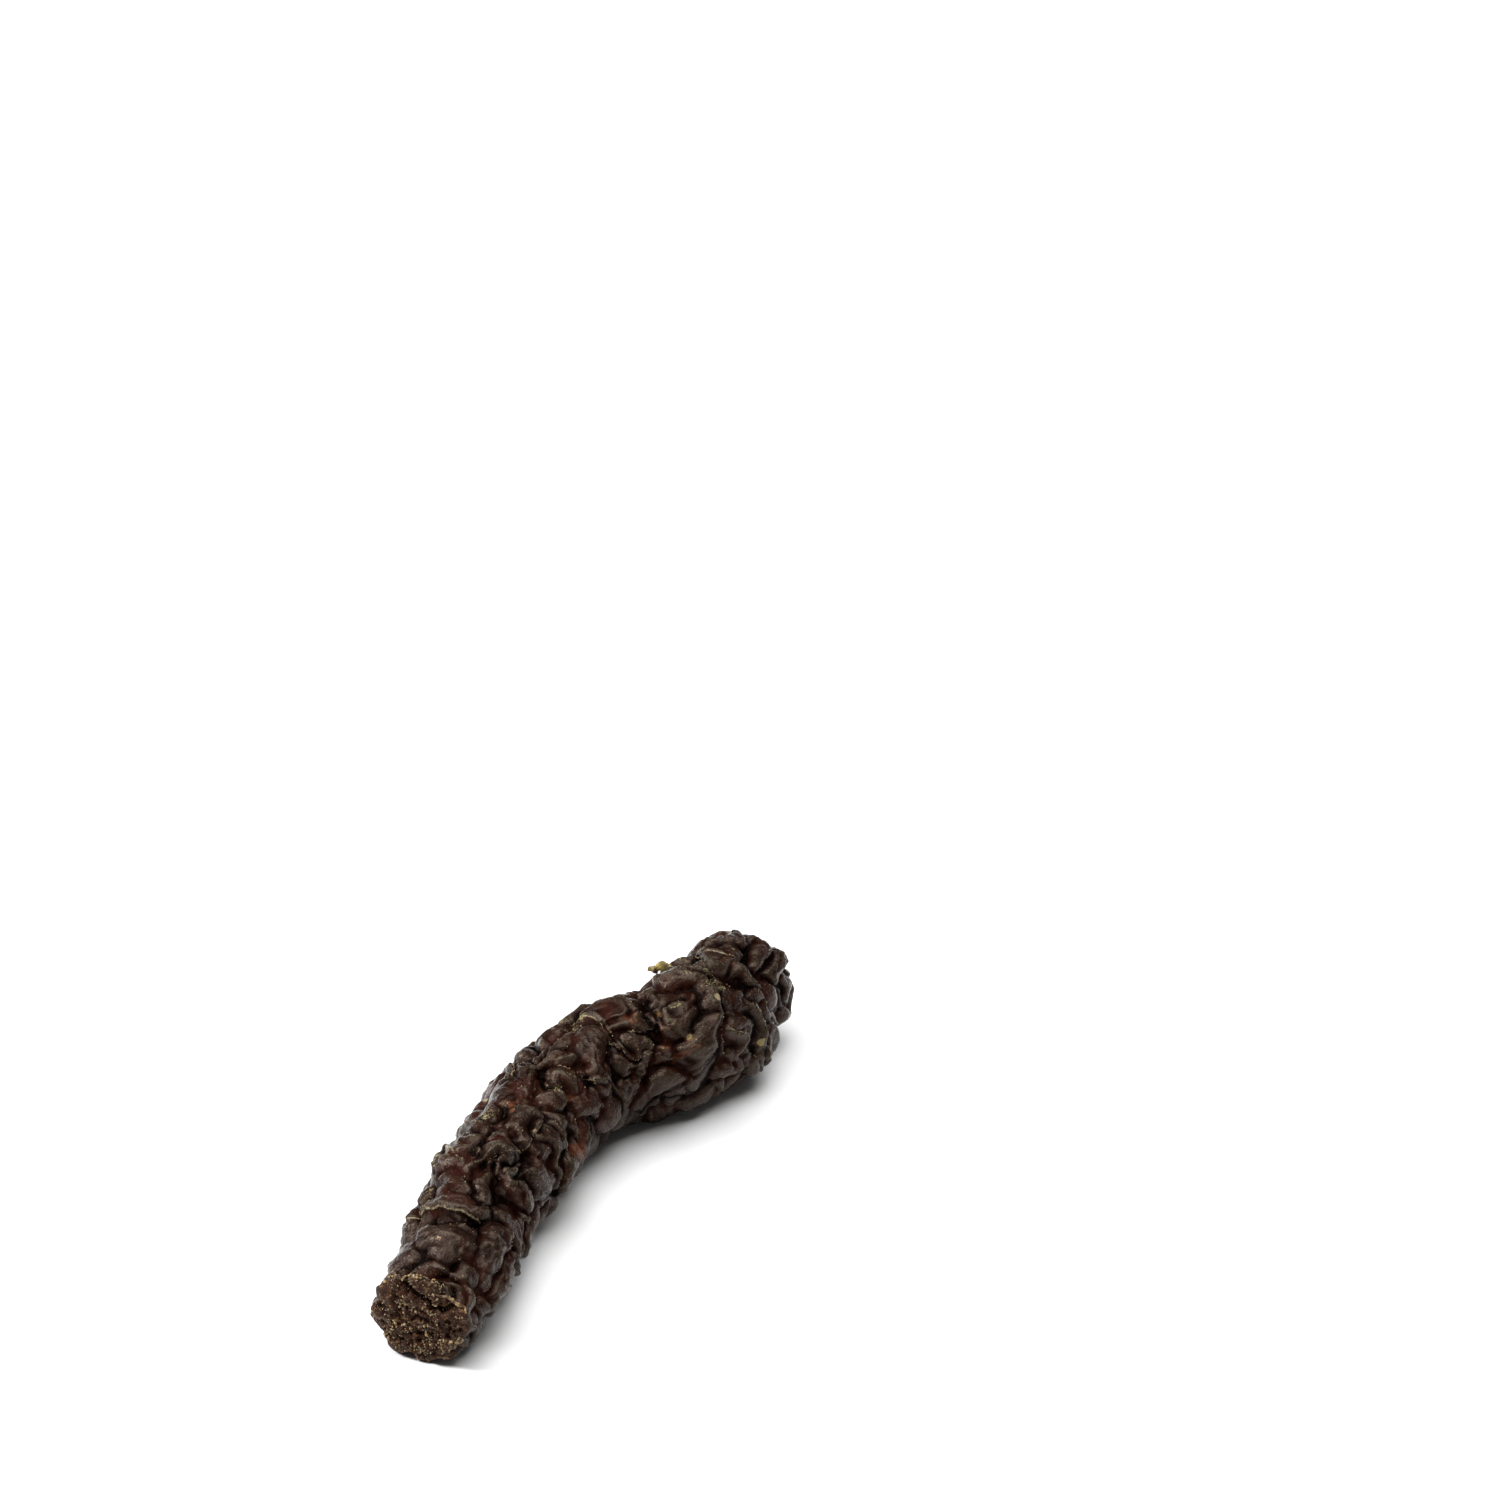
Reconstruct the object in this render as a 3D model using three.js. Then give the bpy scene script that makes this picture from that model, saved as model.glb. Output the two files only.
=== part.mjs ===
// Dried beef stick, a chew for dogs: one wrinkled solid with a cut face at one end and a knobbly
// head at the other. Millimetres, +Z up. The stick lies along +X on its underside, cut face at the
// low X end, and the origin is below the middle of its box.

import * as THREE from "three";
import { mergeVertices } from "three/addons/utils/BufferGeometryUtils.js";

// Length along the middle line, from the cut face to the tip of the head
const STICK_LENGTH = 120;

// Middle line and section at nine even stations, from the cut face to the head
const MIDDLE_Y = [-4.8, -2.2, 1.6, 4.4, 6.4, 5.2, -1.6, -3.4, -1.0];
const MIDDLE_Z = [7.3, 9.0, 9.9, 10.5, 11.0, 11.4, 11.2, 11.3, 10.3];
const HALF_WIDTH = [7.6, 8.3, 9.0, 9.4, 9.6, 10.0, 10.4, 10.4, 9.4];
const HALF_HEIGHT = [7.2, 8.2, 9.0, 9.5, 9.9, 10.3, 10.2, 10.4, 9.2];

// How far along each end rounds over, and how squarely
const CUT_ROUNDING = 2.4;
const CUT_SQUARENESS = 4.5;
const HEAD_ROUNDING = 8;
const HEAD_SQUARENESS = 2.7;

// Main lobes, each a swollen knob of dried meat: its place along (mm) and around (degrees, 90 on
// top and 180 on the low Y side), half length, half width and height (mm), and the turn of its long
// axis from the stick's own (degrees)
const MAIN_LOBES = [
  // on the top and the low Y side, from the cut face to the middle
  [12, 88, 5.4, 5.0, 3.4, 0],
  [15, 146, 8.0, 2.8, 2.5, 8],
  [13, 172, 8.5, 2.6, 2.6, 6],
  [9, 45, 4.4, 3.6, 2.4, 20],
  [24, 84, 4.2, 3.2, 2.0, 0],
  [24, 112, 4.0, 2.9, 2.1, -20],
  [31, 57, 4.2, 3.8, 2.3, 30],
  [32, 191, 5.2, 1.5, 1.9, 14],
  [37, 152, 5.2, 3.4, 2.2, 60],
  [43, 54, 6.0, 4.0, 1.9, -10],
  [46, 105, 5.4, 4.0, 2.0, 40],
  [48, 146, 4.4, 3.4, 2.2, 0],
  [54, 72, 7.6, 5.4, 2.2, 15],
  [52, 184, 3.8, 2.8, 2.3, 20],
  [60, 152, 5.0, 3.4, 2.3, -25],
  // on the top and the low Y side, from the middle to the head
  [66, 144, 4.6, 3.6, 2.1, 50],
  [67, 177, 5.2, 3.8, 2.0, 30],
  [70, 63, 5.0, 3.6, 2.0, 20],
  [71, 108, 5.4, 4.8, 2.6, 10],
  [78, 50, 3.8, 3.4, 2.3, 0],
  [79, 147, 5.0, 3.0, 2.1, 75],
  [80, 111, 2.8, 2.7, 2.2, 0],
  [81, 76, 4.6, 4.2, 2.3, 0],
  [87, 130, 4.2, 3.4, 2.3, -30],
  [88, 100, 3.6, 4.2, 1.9, 0],
  [94, 123, 4.4, 2.8, 2.4, 80],
  [95, 92, 7.2, 3.2, 2.5, 88],
  // folds that run round the neck, and the knobs of the head
  [97, 160, 8.0, 1.7, 1.9, 96],
  [101, 170, 8.5, 1.8, 2.1, 92],
  [101, 212, 6.0, 4.8, 3.4, 60],
  [103, 44, 3.8, 3.4, 2.4, 0],
  [104, 112, 6.5, 2.0, 2.2, 100],
  [107, 160, 4.0, 3.4, 2.0, 40],
  [111, 72, 7.6, 4.0, 2.4, 90],
  [114, 141, 4.6, 4.0, 2.8, 20],
  // the four that the stick rests on
  [14, 268, 5.0, 4.4, 2.6, 0],
  [46, 275, 5.0, 4.2, 2.4, 0],
  [78, 262, 5.2, 4.6, 2.6, 0],
  [103, 272, 5.6, 5.0, 2.8, 0],
];
const MAIN_HEIGHT_SHARE = 0.85;

// Hollows between them, in the same order of values, with a depth for the height
const HOLLOWS = [
  [4.5, 100, 1.6, 6.0, 1.2, 0],
  [16, 30, 3.0, 3.0, 0.8, 0],
  [27, 130, 3.0, 5.0, 0.9, 20],
  [50, 165, 3.0, 4.0, 1.0, 0],
  [58, 100, 2.2, 5.0, 0.9, -15],
  [98, 40, 4.0, 7.0, 2.8, 0],
  [109, 185, 4.0, 6.0, 1.8, 0],
  [101, 80, 1.8, 6.5, 1.3, -10],
];

// Lobes drawn at random between those: two passes, large ones and then small ones in the gaps
const LOBE_SEED = 71;
const LOBE_PASSES = [
  { tries: 2600, smallest: 2.6, largest: 4.6, spacing: 0.62 },
  { tries: 1500, smallest: 1.7, largest: 2.4, spacing: 0.8 },
];
const LARGEST_STRETCH = 1.6;
const LARGEST_TURN = 1.2;
const LOBE_HEIGHT_SHARE = [0.34, 0.6];
const LOBE_PLACES = 600;
const BARE_RIM = 1.2;
const DOME_POWER = 0.85;
const LOBE_DEPTH = 1.3;
const REACH_MARGIN = 0.1;

// How softly the skin spans the valleys between lobes
const SPAN_POWER = 2.4;
const LEAST_SPAN = 0.6;
const SPAN_SOFTNESS = { contrast: 0.9, size: 9, salt: 51 };

// Edges of loose skin lying over what is next to them: place along and around, the direction
// towards the raised side (degrees, 0 to the head and 90 round the stick), half length, how far the
// edge bows that way, height, and how soon the height fades (mm)
const SKIN_EDGES = [
  [18.9, 71, 7, 9.4, -0.7, 1.3, 5.0],
  [19.5, 170, 203, 6.6, -1.2, 0.9, 5.0],
  [35.2, 59, 220, 6.7, -1.0, 0.9, 4.0],
  [39.1, 122, -72, 8.7, -2.0, 0.9, 4.0],
  [60.0, 55, 239, 5.7, -0.5, 0.7, 4.0],
  [62.6, 123, -30, 4.5, 0.6, 0.8, 4.0],
  [74.8, 93, -5, 5.5, -0.2, 0.9, 4.0],
  [76.0, 140, -51, 4.6, -1.4, 0.8, 4.0],
  [81.2, 124, 264, 3.4, -1.0, 0.6, 3.0],
  [82.3, 84, 183, 5.5, 0.8, 0.9, 4.0],
  [93.5, 158, 199, 4.0, 0.2, 0.7, 2.5],
  [96.6, 84, 138, 6.8, -2.0, 1.4, 6.0],
  [97.2, 178, 156, 7.0, -1.0, 0.9, 2.5],
  [100.0, 160, 180, 8.5, 1.0, 1.0, 3.0],
  [104.0, 176, 180, 8.0, 0.8, 1.0, 3.0],
  [104.7, 77, 0, 4.6, 0.0, 0.8, 2.5],
];
const MEAN_RADIUS = 10.5;
const EDGE_WIDTH = 0.55;
const EDGE_END = 1.1;
const EDGE_END_FADE = 0.4;

// Teeth and notches of the cut rim: place around, how far out (mm), half span (degrees)
const RIM_TEETH = [
  [335, 1.6, 14],
  [303, 2.2, 14],
  [288, -1.0, 9],
  [264, 1.0, 14],
  [188, -0.8, 30],
  [138, 2.2, 20],
  [118, -0.8, 7],
  [96, 1.6, 18],
  [56, 0.8, 16],
  [20, -0.8, 14],
];
const TOOTH_FADE = 2.0;
const RIM_POWER = 7;

// Relief over the whole stick: how far each layer stands out and the size of its waves
const SKIN_LEVEL = -0.75;
const SWELL = { height: 0.9, size: 15, salt: 3 };
const BROAD_WARP = { height: 2.6, size: 7, salt: 11 };
const CLOSE_WARP = { height: 0.95, size: 2.8, salt: 21 };

// Folds, each rising slowly and dropping off at a crease, along the stick or round it
const FOLD_HEIGHT = 0.95;
const FOLD_COUNT = 3.2;
const FOLD_DROP = 0.16;
const FOLD_SQUEEZE = 0.55;
const LENGTHWISE_FOLD = { size: 8, salt: 5 };
const CROSSWISE_FOLD = { size: 8, salt: 6 };
const FOLD_MIX = { contrast: 1.6, size: 14, salt: 7 };
const FOLD_REACH = { contrast: 1.5, size: 11, salt: 52 };

// The lobes lean towards the cut face and to either side, so that they lap over each other
const LEAN = { height: 0.75, size: 16, salt: 41, towardsCut: 0.35 };

// Torn grain of the cut face, less at its rim, and the crease that crosses the top of the face
const COARSE_GRAIN = { height: 0.55, size: 2.2, salt: 31 };
const CLOSE_GRAIN = { height: 0.4, size: 1.0, salt: 32 };
const FACE_FROM = 0.25;
const FACE_BLEND = 0.17;
const RIM_GRAIN = 0.25;
const RIM_GRAIN_SPAN = 0.11;
const FACE_CREASE = { height: 5.6, depth: 1.3, width: 0.6 };

// Facets: rings of points from end to end, and points round each ring
const RINGS = 86;
const POINTS_ROUND = 58;
const OUTLINE_STEPS = 400;
const OUTLINE_RADIUS = 9;
const MERGE_DISTANCE = 1e-4;
const SLOPE_STEP = 0.001;

// Waves: their height, and the bits of a lattice number that give a slope
const WAVE_GAIN = 1.6;
const SLOPE_BITS = 10;
const SLOPE_LEVELS = 1023;

const MEAT_COLOUR = 0x3a2a24;
const MEAT_ROUGHNESS = 0.5;

const { clamp, degToRad, radToDeg } = THREE.MathUtils;

// A seeded row of random numbers.
function seededDraws(seed) {
  let state = seed;
  return (low, high) => {
    state = (state + 0x6d2b79f5) | 0;
    let t = Math.imul(state ^ (state >>> 15), state | 1);
    t ^= t + Math.imul(t ^ (t >>> 7), t | 61);
    t ^= t >>> 14;
    return low + ((high - low) * (t >>> 0)) / 2 ** 32;
  };
}

// A smooth line through evenly spaced station values, for t from 0 to 1.
function smooth(stations, t) {
  const last = stations.length - 1;
  const x = clamp(t, 0, 1) * last;
  const i = Math.min(Math.floor(x), last - 1);
  const f = x - i;
  const a = stations[Math.max(i - 1, 0)];
  const b = stations[i];
  const c = stations[i + 1];
  const d = stations[Math.min(i + 2, last)];
  return b + 0.5 * f * (c - a + f * (2 * a - 5 * b + 4 * c - d + f * (3 * (b - c) + d - a)));
}

// A smooth step from 0 to 1.
function smoothstep(x) {
  return THREE.MathUtils.smoothstep(x, 0, 1);
}

// The turn between two directions in degrees, from -180 to 180.
function turnBetween(from, to) {
  return THREE.MathUtils.euclideanModulo(to - from + 180, 360) - 180;
}

// A whole number mixed from a lattice point, the same on every run.
function latticeNumber(x, y, z, salt) {
  let h = Math.imul(x, 374761393) + Math.imul(y, 668265263);
  h = (h + Math.imul(z, 1440662683) + Math.imul(salt, 974634777)) | 0;
  h = Math.imul(h ^ (h >>> 13), 1274126177);
  h = Math.imul(h ^ (h >>> 16), 2246822519);
  return (h ^ (h >>> 15)) >>> 0;
}

// Smooth random waves in space, about -1 to 1, with one wave in each size.
function waves(p, { size, salt }) {
  const x = [p.x / size, p.y / size, p.z / size];
  const cell = x.map(Math.floor);
  const f = x.map((v, k) => v - cell[k]);
  const ease = f.map((v) => v * v * v * (v * (v * 6 - 15) + 10));
  let total = 0;
  for (let corner = 0; corner < 8; corner++) {
    const o = [corner & 1, (corner >> 1) & 1, corner >> 2];
    const h = latticeNumber(cell[0] + o[0], cell[1] + o[1], cell[2] + o[2], salt);
    let share = 1;
    let rise = 0;
    for (let k = 0; k < 3; k++) {
      const slope = (2 * ((h >>> (SLOPE_BITS * k)) & SLOPE_LEVELS)) / SLOPE_LEVELS - 1;
      share *= o[k] ? ease[k] : 1 - ease[k];
      rise += slope * (f[k] - o[k]);
    }
    total += share * rise;
  }
  return total * WAVE_GAIN;
}

// Three independent waves as one vector.
function waveVector(p, { size, salt }) {
  const [x, y, z] = [0, 1, 2].map((k) => waves(p, { size, salt: salt + k }));
  return new THREE.Vector3(x, y, z);
}

// A smooth share from 0 to 1 that changes from place to place.
function shareOf(p, { contrast, size, salt }) {
  return clamp(0.5 + contrast * waves(p, { size, salt }), 0, 1);
}

// How far into either end's rounding a place is, from 0 on the side to 1 at the very end.
function roundings(along) {
  return {
    cut: clamp(1 - along / CUT_ROUNDING, 0, 1),
    head: clamp(1 - (STICK_LENGTH - along) / HEAD_ROUNDING, 0, 1),
  };
}

// The share of the full section that is left at a place along.
function sectionShare(along) {
  const { cut, head } = roundings(along);
  const atCut = (1 - cut ** CUT_SQUARENESS) ** (1 / CUT_SQUARENESS);
  const atHead = (1 - head ** HEAD_SQUARENESS) ** (1 / HEAD_SQUARENESS);
  return atCut * atHead;
}

// Places along and their shares of the section, from pole to pole, evenly spaced over the outline.
function outlinePlaces(count) {
  const outline = [];
  for (let k = 0; k < OUTLINE_STEPS; k++) {
    const turn = (Math.PI / 2) * (k / (OUTLINE_STEPS - 1));
    const along = CUT_ROUNDING * (1 - Math.cos(turn) ** (2 / CUT_SQUARENESS));
    outline.push({ along, share: Math.sin(turn) ** (2 / CUT_SQUARENESS) });
  }
  for (let k = OUTLINE_STEPS - 1; k >= 0; k--) {
    const turn = (Math.PI / 2) * (k / (OUTLINE_STEPS - 1));
    const along = STICK_LENGTH - HEAD_ROUNDING * (1 - Math.cos(turn) ** (2 / HEAD_SQUARENESS));
    outline.push({ along, share: Math.sin(turn) ** (2 / HEAD_SQUARENESS) });
  }
  const reached = [0];
  for (let k = 1; k < outline.length; k++) {
    const step = outline[k].along - outline[k - 1].along;
    const rise = OUTLINE_RADIUS * (outline[k].share - outline[k - 1].share);
    reached.push(reached[k - 1] + Math.hypot(step, rise));
  }
  const places = [];
  let k = 1;
  for (let ring = 0; ring < count; ring++) {
    const want = (reached.at(-1) * ring) / (count - 1);
    while (k < outline.length - 1 && reached[k] < want) k++;
    const part = clamp((want - reached[k - 1]) / (reached[k] - reached[k - 1]), 0, 1);
    const from = outline[k - 1];
    const to = outline[k];
    places.push({
      along: from.along + part * (to.along - from.along),
      share: from.share + part * (to.share - from.share),
    });
  }
  return places;
}

// A point of the plain stick laid straight along X, and the direction straight out of it there.
function straightPoint({ along, share }, around) {
  const t = along / STICK_LENGTH;
  const width = smooth(HALF_WIDTH, t);
  const height = smooth(HALF_HEIGHT, t);
  const { cut, head } = roundings(along);
  const cos = Math.cos(around);
  const sin = Math.sin(around);
  let sideways = 1;
  if (head > 0) sideways = share ** (HEAD_SQUARENESS - 1);
  if (cut > 0) sideways = share ** (CUT_SQUARENESS - 1);
  const endways =
    head ** (HEAD_SQUARENESS - 1) / HEAD_ROUNDING - cut ** (CUT_SQUARENESS - 1) / CUT_ROUNDING;
  return {
    point: new THREE.Vector3(along, share * width * cos, share * height * sin),
    out: new THREE.Vector3(endways, (sideways * cos) / width, (sideways * sin) / height).normalize(),
  };
}

// The point moved by slow and quick waves, which makes what is worked out from it irregular.
function warpedPoint(point) {
  const moved = point.clone();
  moved.addScaledVector(waveVector(point, BROAD_WARP), BROAD_WARP.height);
  return moved.addScaledVector(waveVector(point, CLOSE_WARP), CLOSE_WARP.height);
}

// One lobe or hollow: its centre, and its three axes divided by its half sizes.
function lobeAt({ point, out }, around, halfLength, halfWidth, height, turn) {
  const across = new THREE.Vector3(0, -Math.sin(around), Math.cos(around));
  across.addScaledVector(out, -across.dot(out)).normalize();
  const along = across.clone().cross(out);
  const longAxis = along.multiplyScalar(Math.cos(turn)).addScaledVector(across, Math.sin(turn));
  const wideAxis = out.clone().cross(longAxis);
  const spread = Math.sqrt(halfLength * halfWidth);
  return {
    centre: warpedPoint(point),
    axes: [
      longAxis.divideScalar(halfLength),
      wideAxis.divideScalar(halfWidth),
      out.clone().divideScalar(LOBE_DEPTH * halfWidth),
    ],
    height,
    spread,
    reach: Math.max(halfLength, LOBE_DEPTH * spread) + REACH_MARGIN,
  };
}

// The lobes or hollows of a list.
function listedLobes(rows, heightShare) {
  return rows.map(([along, around, halfLength, halfWidth, height, turn]) => {
    const place = straightPoint({ along, share: sectionShare(along) }, degToRad(around));
    const sizes = [halfLength, halfWidth, height * heightShare, degToRad(turn)];
    return lobeAt(place, degToRad(around), ...sizes);
  });
}

// The main lobes, and the random ones wherever they have room.
function makeLobes() {
  const lobes = listedLobes(MAIN_LOBES, MAIN_HEIGHT_SHARE);
  const places = outlinePlaces(LOBE_PLACES);
  const draw = seededDraws(LOBE_SEED);
  for (const { tries, smallest, largest, spacing } of LOBE_PASSES) {
    for (let k = 0; k < tries; k++) {
      const place = places[Math.floor(draw(0, LOBE_PLACES))];
      const around = draw(0, 2 * Math.PI);
      const chance = draw(0, 1);
      const radius = draw(smallest, largest);
      const stretch = draw(1, LARGEST_STRETCH);
      const turn = draw(-LARGEST_TURN, LARGEST_TURN);
      const height = draw(...LOBE_HEIGHT_SHARE) * radius;
      if (chance >= place.share || place.along <= BARE_RIM) continue;
      const sizes = [radius * stretch, radius / stretch, height, turn];
      const lobe = lobeAt(straightPoint(place, around), around, ...sizes);
      const tooNear = (other) =>
        lobe.centre.distanceTo(other.centre) <= spacing * (radius + other.spread);
      if (!lobes.some(tooNear)) lobes.push(lobe);
    }
  }
  return lobes;
}

// How far a point is from a lobe's centre, squared, with the lobe's own surface at 1.
function apartFrom(point, lobe) {
  const from = point.clone().sub(lobe.centre);
  return lobe.axes.reduce((sum, axis) => sum + from.dot(axis) ** 2, 0);
}

// The height over a point of the lobes and of the skin that spans the valleys between them.
function lobeHeight(warped, point, lobes) {
  let highest = 0;
  let total = 0;
  for (const lobe of lobes) {
    if (Math.abs(warped.x - lobe.centre.x) > lobe.reach) continue;
    const apart = apartFrom(warped, lobe);
    if (apart >= 1) continue;
    const dome = lobe.height * (1 - apart) ** DOME_POWER;
    highest = Math.max(highest, dome);
    total += dome ** SPAN_POWER;
  }
  const softness = Math.max(LEAST_SPAN, shareOf(point, SPAN_SOFTNESS));
  return highest + softness * (total ** (1 / SPAN_POWER) - highest);
}

// How deep the hollows are over a point.
function hollowDepth(warped, hollows) {
  const depthOf = (hollow) => hollow.height * clamp(1 - apartFrom(warped, hollow), 0, 1) ** 2;
  return hollows.reduce((sum, hollow) => sum + depthOf(hollow), 0);
}

// The height over one fold, from 0 to 1: a slow round rise, then a quick drop to the next crease.
function foldProfile(level) {
  const part = level - Math.floor(level);
  const rise = Math.sin((Math.PI / 2) * Math.min(part / (1 - FOLD_DROP), 1));
  return rise * smoothstep((1 - part) / FOLD_DROP);
}

// Folds of loose skin: along the stick in some places and round it in others.
function foldHeight(point, warped) {
  const lengthwise = new THREE.Vector3(FOLD_SQUEEZE, 1, 1).multiply(warped);
  const crosswise = new THREE.Vector3(1, FOLD_SQUEEZE, FOLD_SQUEEZE).multiply(warped);
  const alongFold = foldProfile(FOLD_COUNT * waves(lengthwise, LENGTHWISE_FOLD));
  const roundFold = foldProfile(FOLD_COUNT * waves(crosswise, CROSSWISE_FOLD));
  const mix = shareOf(point, FOLD_MIX);
  return FOLD_HEIGHT * (alongFold * mix + roundFold * (1 - mix)) * shareOf(point, FOLD_REACH);
}

// How far the skin is raised on the raised sides of its edges.
function skinEdgeHeight(p) {
  const roundPlace = radToDeg(Math.atan2(p.z, p.y));
  let height = 0;
  for (const [along, around, direction, halfLength, bow, rise, fade] of SKIN_EDGES) {
    const ahead = p.x - along;
    const aside = degToRad(turnBetween(around, roundPlace)) * MEAN_RADIUS;
    const cos = Math.cos(degToRad(direction));
    const sin = Math.sin(degToRad(direction));
    const beside = (aside * cos - ahead * sin) / halfLength;
    const past = ahead * cos + aside * sin + bow * beside ** 2;
    const reach = smoothstep((EDGE_END - Math.abs(beside)) / EDGE_END_FADE);
    height += rise * reach * smoothstep(past / EDGE_WIDTH) * Math.exp(-Math.max(past, 0) / fade);
  }
  return height;
}

// How far the cut rim reaches out past the plain section.
function toothReach(along, around) {
  let reach = 0;
  for (const [place, out, halfSpan] of RIM_TEETH) {
    const off = turnBetween(place, radToDeg(around)) / halfSpan;
    reach += out * clamp(1 - off * off, 0, 1);
  }
  return reach * Math.exp(-along / TOOTH_FADE);
}

// How far the cut face stands out along the stick: its torn grain, less its crease.
function faceReach(point, warped, share) {
  const grain =
    COARSE_GRAIN.height * waves(point, COARSE_GRAIN) + CLOSE_GRAIN.height * waves(point, CLOSE_GRAIN);
  const offCrease = (warped.z - FACE_CREASE.height) / FACE_CREASE.width;
  const crease = FACE_CREASE.depth * Math.exp(-offCrease * offCrease);
  return clamp((1 - share) / RIM_GRAIN_SPAN, RIM_GRAIN, 1) * grain - crease;
}

// A point of the stick laid straight, with lobes, folds and the cut face's grain.
function dressedPoint(place, around, lobes, hollows) {
  const { point, out } = straightPoint(place, around);
  const warped = warpedPoint(point);
  const lobe = lobeHeight(warped, point, lobes);
  const halfWarped = point.clone().lerp(warped, 0.5);
  const relief =
    SKIN_LEVEL +
    lobe +
    skinEdgeHeight(halfWarped) +
    SWELL.height * waves(point, SWELL) +
    foldHeight(point, warped) +
    toothReach(place.along, around) -
    hollowDepth(warped, hollows);

  const rim = place.share ** RIM_POWER;
  const { cut } = roundings(place.along);
  const push = out.clone();
  if (cut > 0) push.set(0, Math.cos(around) * rim, Math.sin(around) * rim);
  const dressed = point.clone().addScaledVector(push, relief);

  const lean = waveVector(point, LEAN);
  lean.x -= LEAN.towardsCut;
  lean.addScaledVector(out, -lean.dot(out));
  dressed.addScaledVector(lean, LEAN.height * lobe * rim);

  const face = clamp((cut - FACE_FROM) / FACE_BLEND, 0, 1);
  dressed.x -= face * faceReach(point, warped, place.share);
  return dressed;
}

// Bends a point of the straight stick onto the real middle line, no lower than the ground.
function bent(point, along) {
  const t = along / STICK_LENGTH;
  const before = Math.max(t - SLOPE_STEP, 0);
  const after = Math.min(t + SLOPE_STEP, 1);
  const run = (after - before) * STICK_LENGTH;
  const slopeY = (smooth(MIDDLE_Y, after) - smooth(MIDDLE_Y, before)) / run;
  const slopeZ = (smooth(MIDDLE_Z, after) - smooth(MIDDLE_Z, before)) / run;
  const forward = new THREE.Vector3(1, slopeY, slopeZ).normalize();
  const sideways = new THREE.Vector3(-forward.y, forward.x, 0).normalize();
  const upward = forward.clone().cross(sideways);
  const place = new THREE.Vector3(along, smooth(MIDDLE_Y, t), smooth(MIDDLE_Z, t));
  place.addScaledVector(forward, point.x - along);
  place.addScaledVector(sideways, point.y);
  place.addScaledVector(upward, point.z);
  place.z = Math.max(place.z, 0);
  return place;
}

// The solid: a sphere's closed grid of points, each moved to its place on the stick.
function stickGeometry() {
  const lobes = makeLobes();
  const hollows = listedLobes(HOLLOWS, 1);
  const places = outlinePlaces(RINGS);
  const geometry = new THREE.SphereGeometry(1, POINTS_ROUND, RINGS - 1);
  const positions = geometry.getAttribute("position");
  for (let k = 0; k < positions.count; k++) {
    const place = places[Math.floor(k / (POINTS_ROUND + 1))];
    const step = (k % (POINTS_ROUND + 1)) % POINTS_ROUND;
    const around = (-2 * Math.PI * step) / POINTS_ROUND;
    const point = bent(dressedPoint(place, around, lobes, hollows), place.along);
    positions.setXYZ(k, point.x, point.y, point.z);
  }
  geometry.deleteAttribute("normal");
  geometry.deleteAttribute("uv");
  const closed = mergeVertices(geometry, MERGE_DISTANCE);
  closed.computeBoundingBox();
  const middle = closed.boundingBox.getCenter(new THREE.Vector3());
  closed.translate(-middle.x, -middle.y, -closed.boundingBox.min.z);
  closed.computeVertexNormals();
  return closed;
}

const meat = new THREE.MeshStandardMaterial({
  color: MEAT_COLOUR,
  roughness: MEAT_ROUGHNESS,
  metalness: 0,
});

const stick = new THREE.Mesh(stickGeometry(), meat);
stick.name = "beef_stick";

const treat = new THREE.Group();
treat.add(stick);

export default treat;
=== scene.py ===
"""Dried beef stick, a chew for dogs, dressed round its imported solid.

Places on the stick are given in millimetres along it from the cut face and in degrees round it,
90 on top and 180 on the low Y side. The form's own functions work in millimetres, and what goes
to Blender is in metres.
"""

import math

import bpy
import numpy as np
from mathutils import Matrix, Vector


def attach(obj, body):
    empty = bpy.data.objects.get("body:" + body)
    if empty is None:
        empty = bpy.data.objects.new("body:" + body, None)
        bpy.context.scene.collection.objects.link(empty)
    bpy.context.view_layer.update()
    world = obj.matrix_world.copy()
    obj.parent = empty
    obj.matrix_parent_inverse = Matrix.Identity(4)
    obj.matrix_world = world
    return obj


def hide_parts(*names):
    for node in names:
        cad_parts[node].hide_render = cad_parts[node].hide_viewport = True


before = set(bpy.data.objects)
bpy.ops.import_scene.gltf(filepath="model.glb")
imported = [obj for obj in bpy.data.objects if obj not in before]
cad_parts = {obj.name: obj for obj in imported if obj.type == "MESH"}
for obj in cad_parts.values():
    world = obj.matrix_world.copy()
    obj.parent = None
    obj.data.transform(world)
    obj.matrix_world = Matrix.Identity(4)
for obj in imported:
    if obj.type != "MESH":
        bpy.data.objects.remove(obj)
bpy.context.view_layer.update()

MM = 0.001

# Length along the middle line, from the cut face to the tip of the head
STICK_LENGTH = 120.0

# Middle line and section at nine even stations, from the cut face to the head
MIDDLE_Y = [-4.8, -2.2, 1.6, 4.4, 6.4, 5.2, -1.6, -3.4, -1.0]
MIDDLE_Z = [7.3, 9.0, 9.9, 10.5, 11.0, 11.4, 11.2, 11.3, 10.3]
HALF_WIDTH = [7.6, 8.3, 9.0, 9.4, 9.6, 10.0, 10.4, 10.4, 9.4]
HALF_HEIGHT = [7.2, 8.2, 9.0, 9.5, 9.9, 10.3, 10.2, 10.4, 9.2]

# How far along each end rounds over, and how squarely
CUT_ROUNDING = 2.4
CUT_SQUARENESS = 4.5
HEAD_ROUNDING = 8.0
HEAD_SQUARENESS = 2.7

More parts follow.
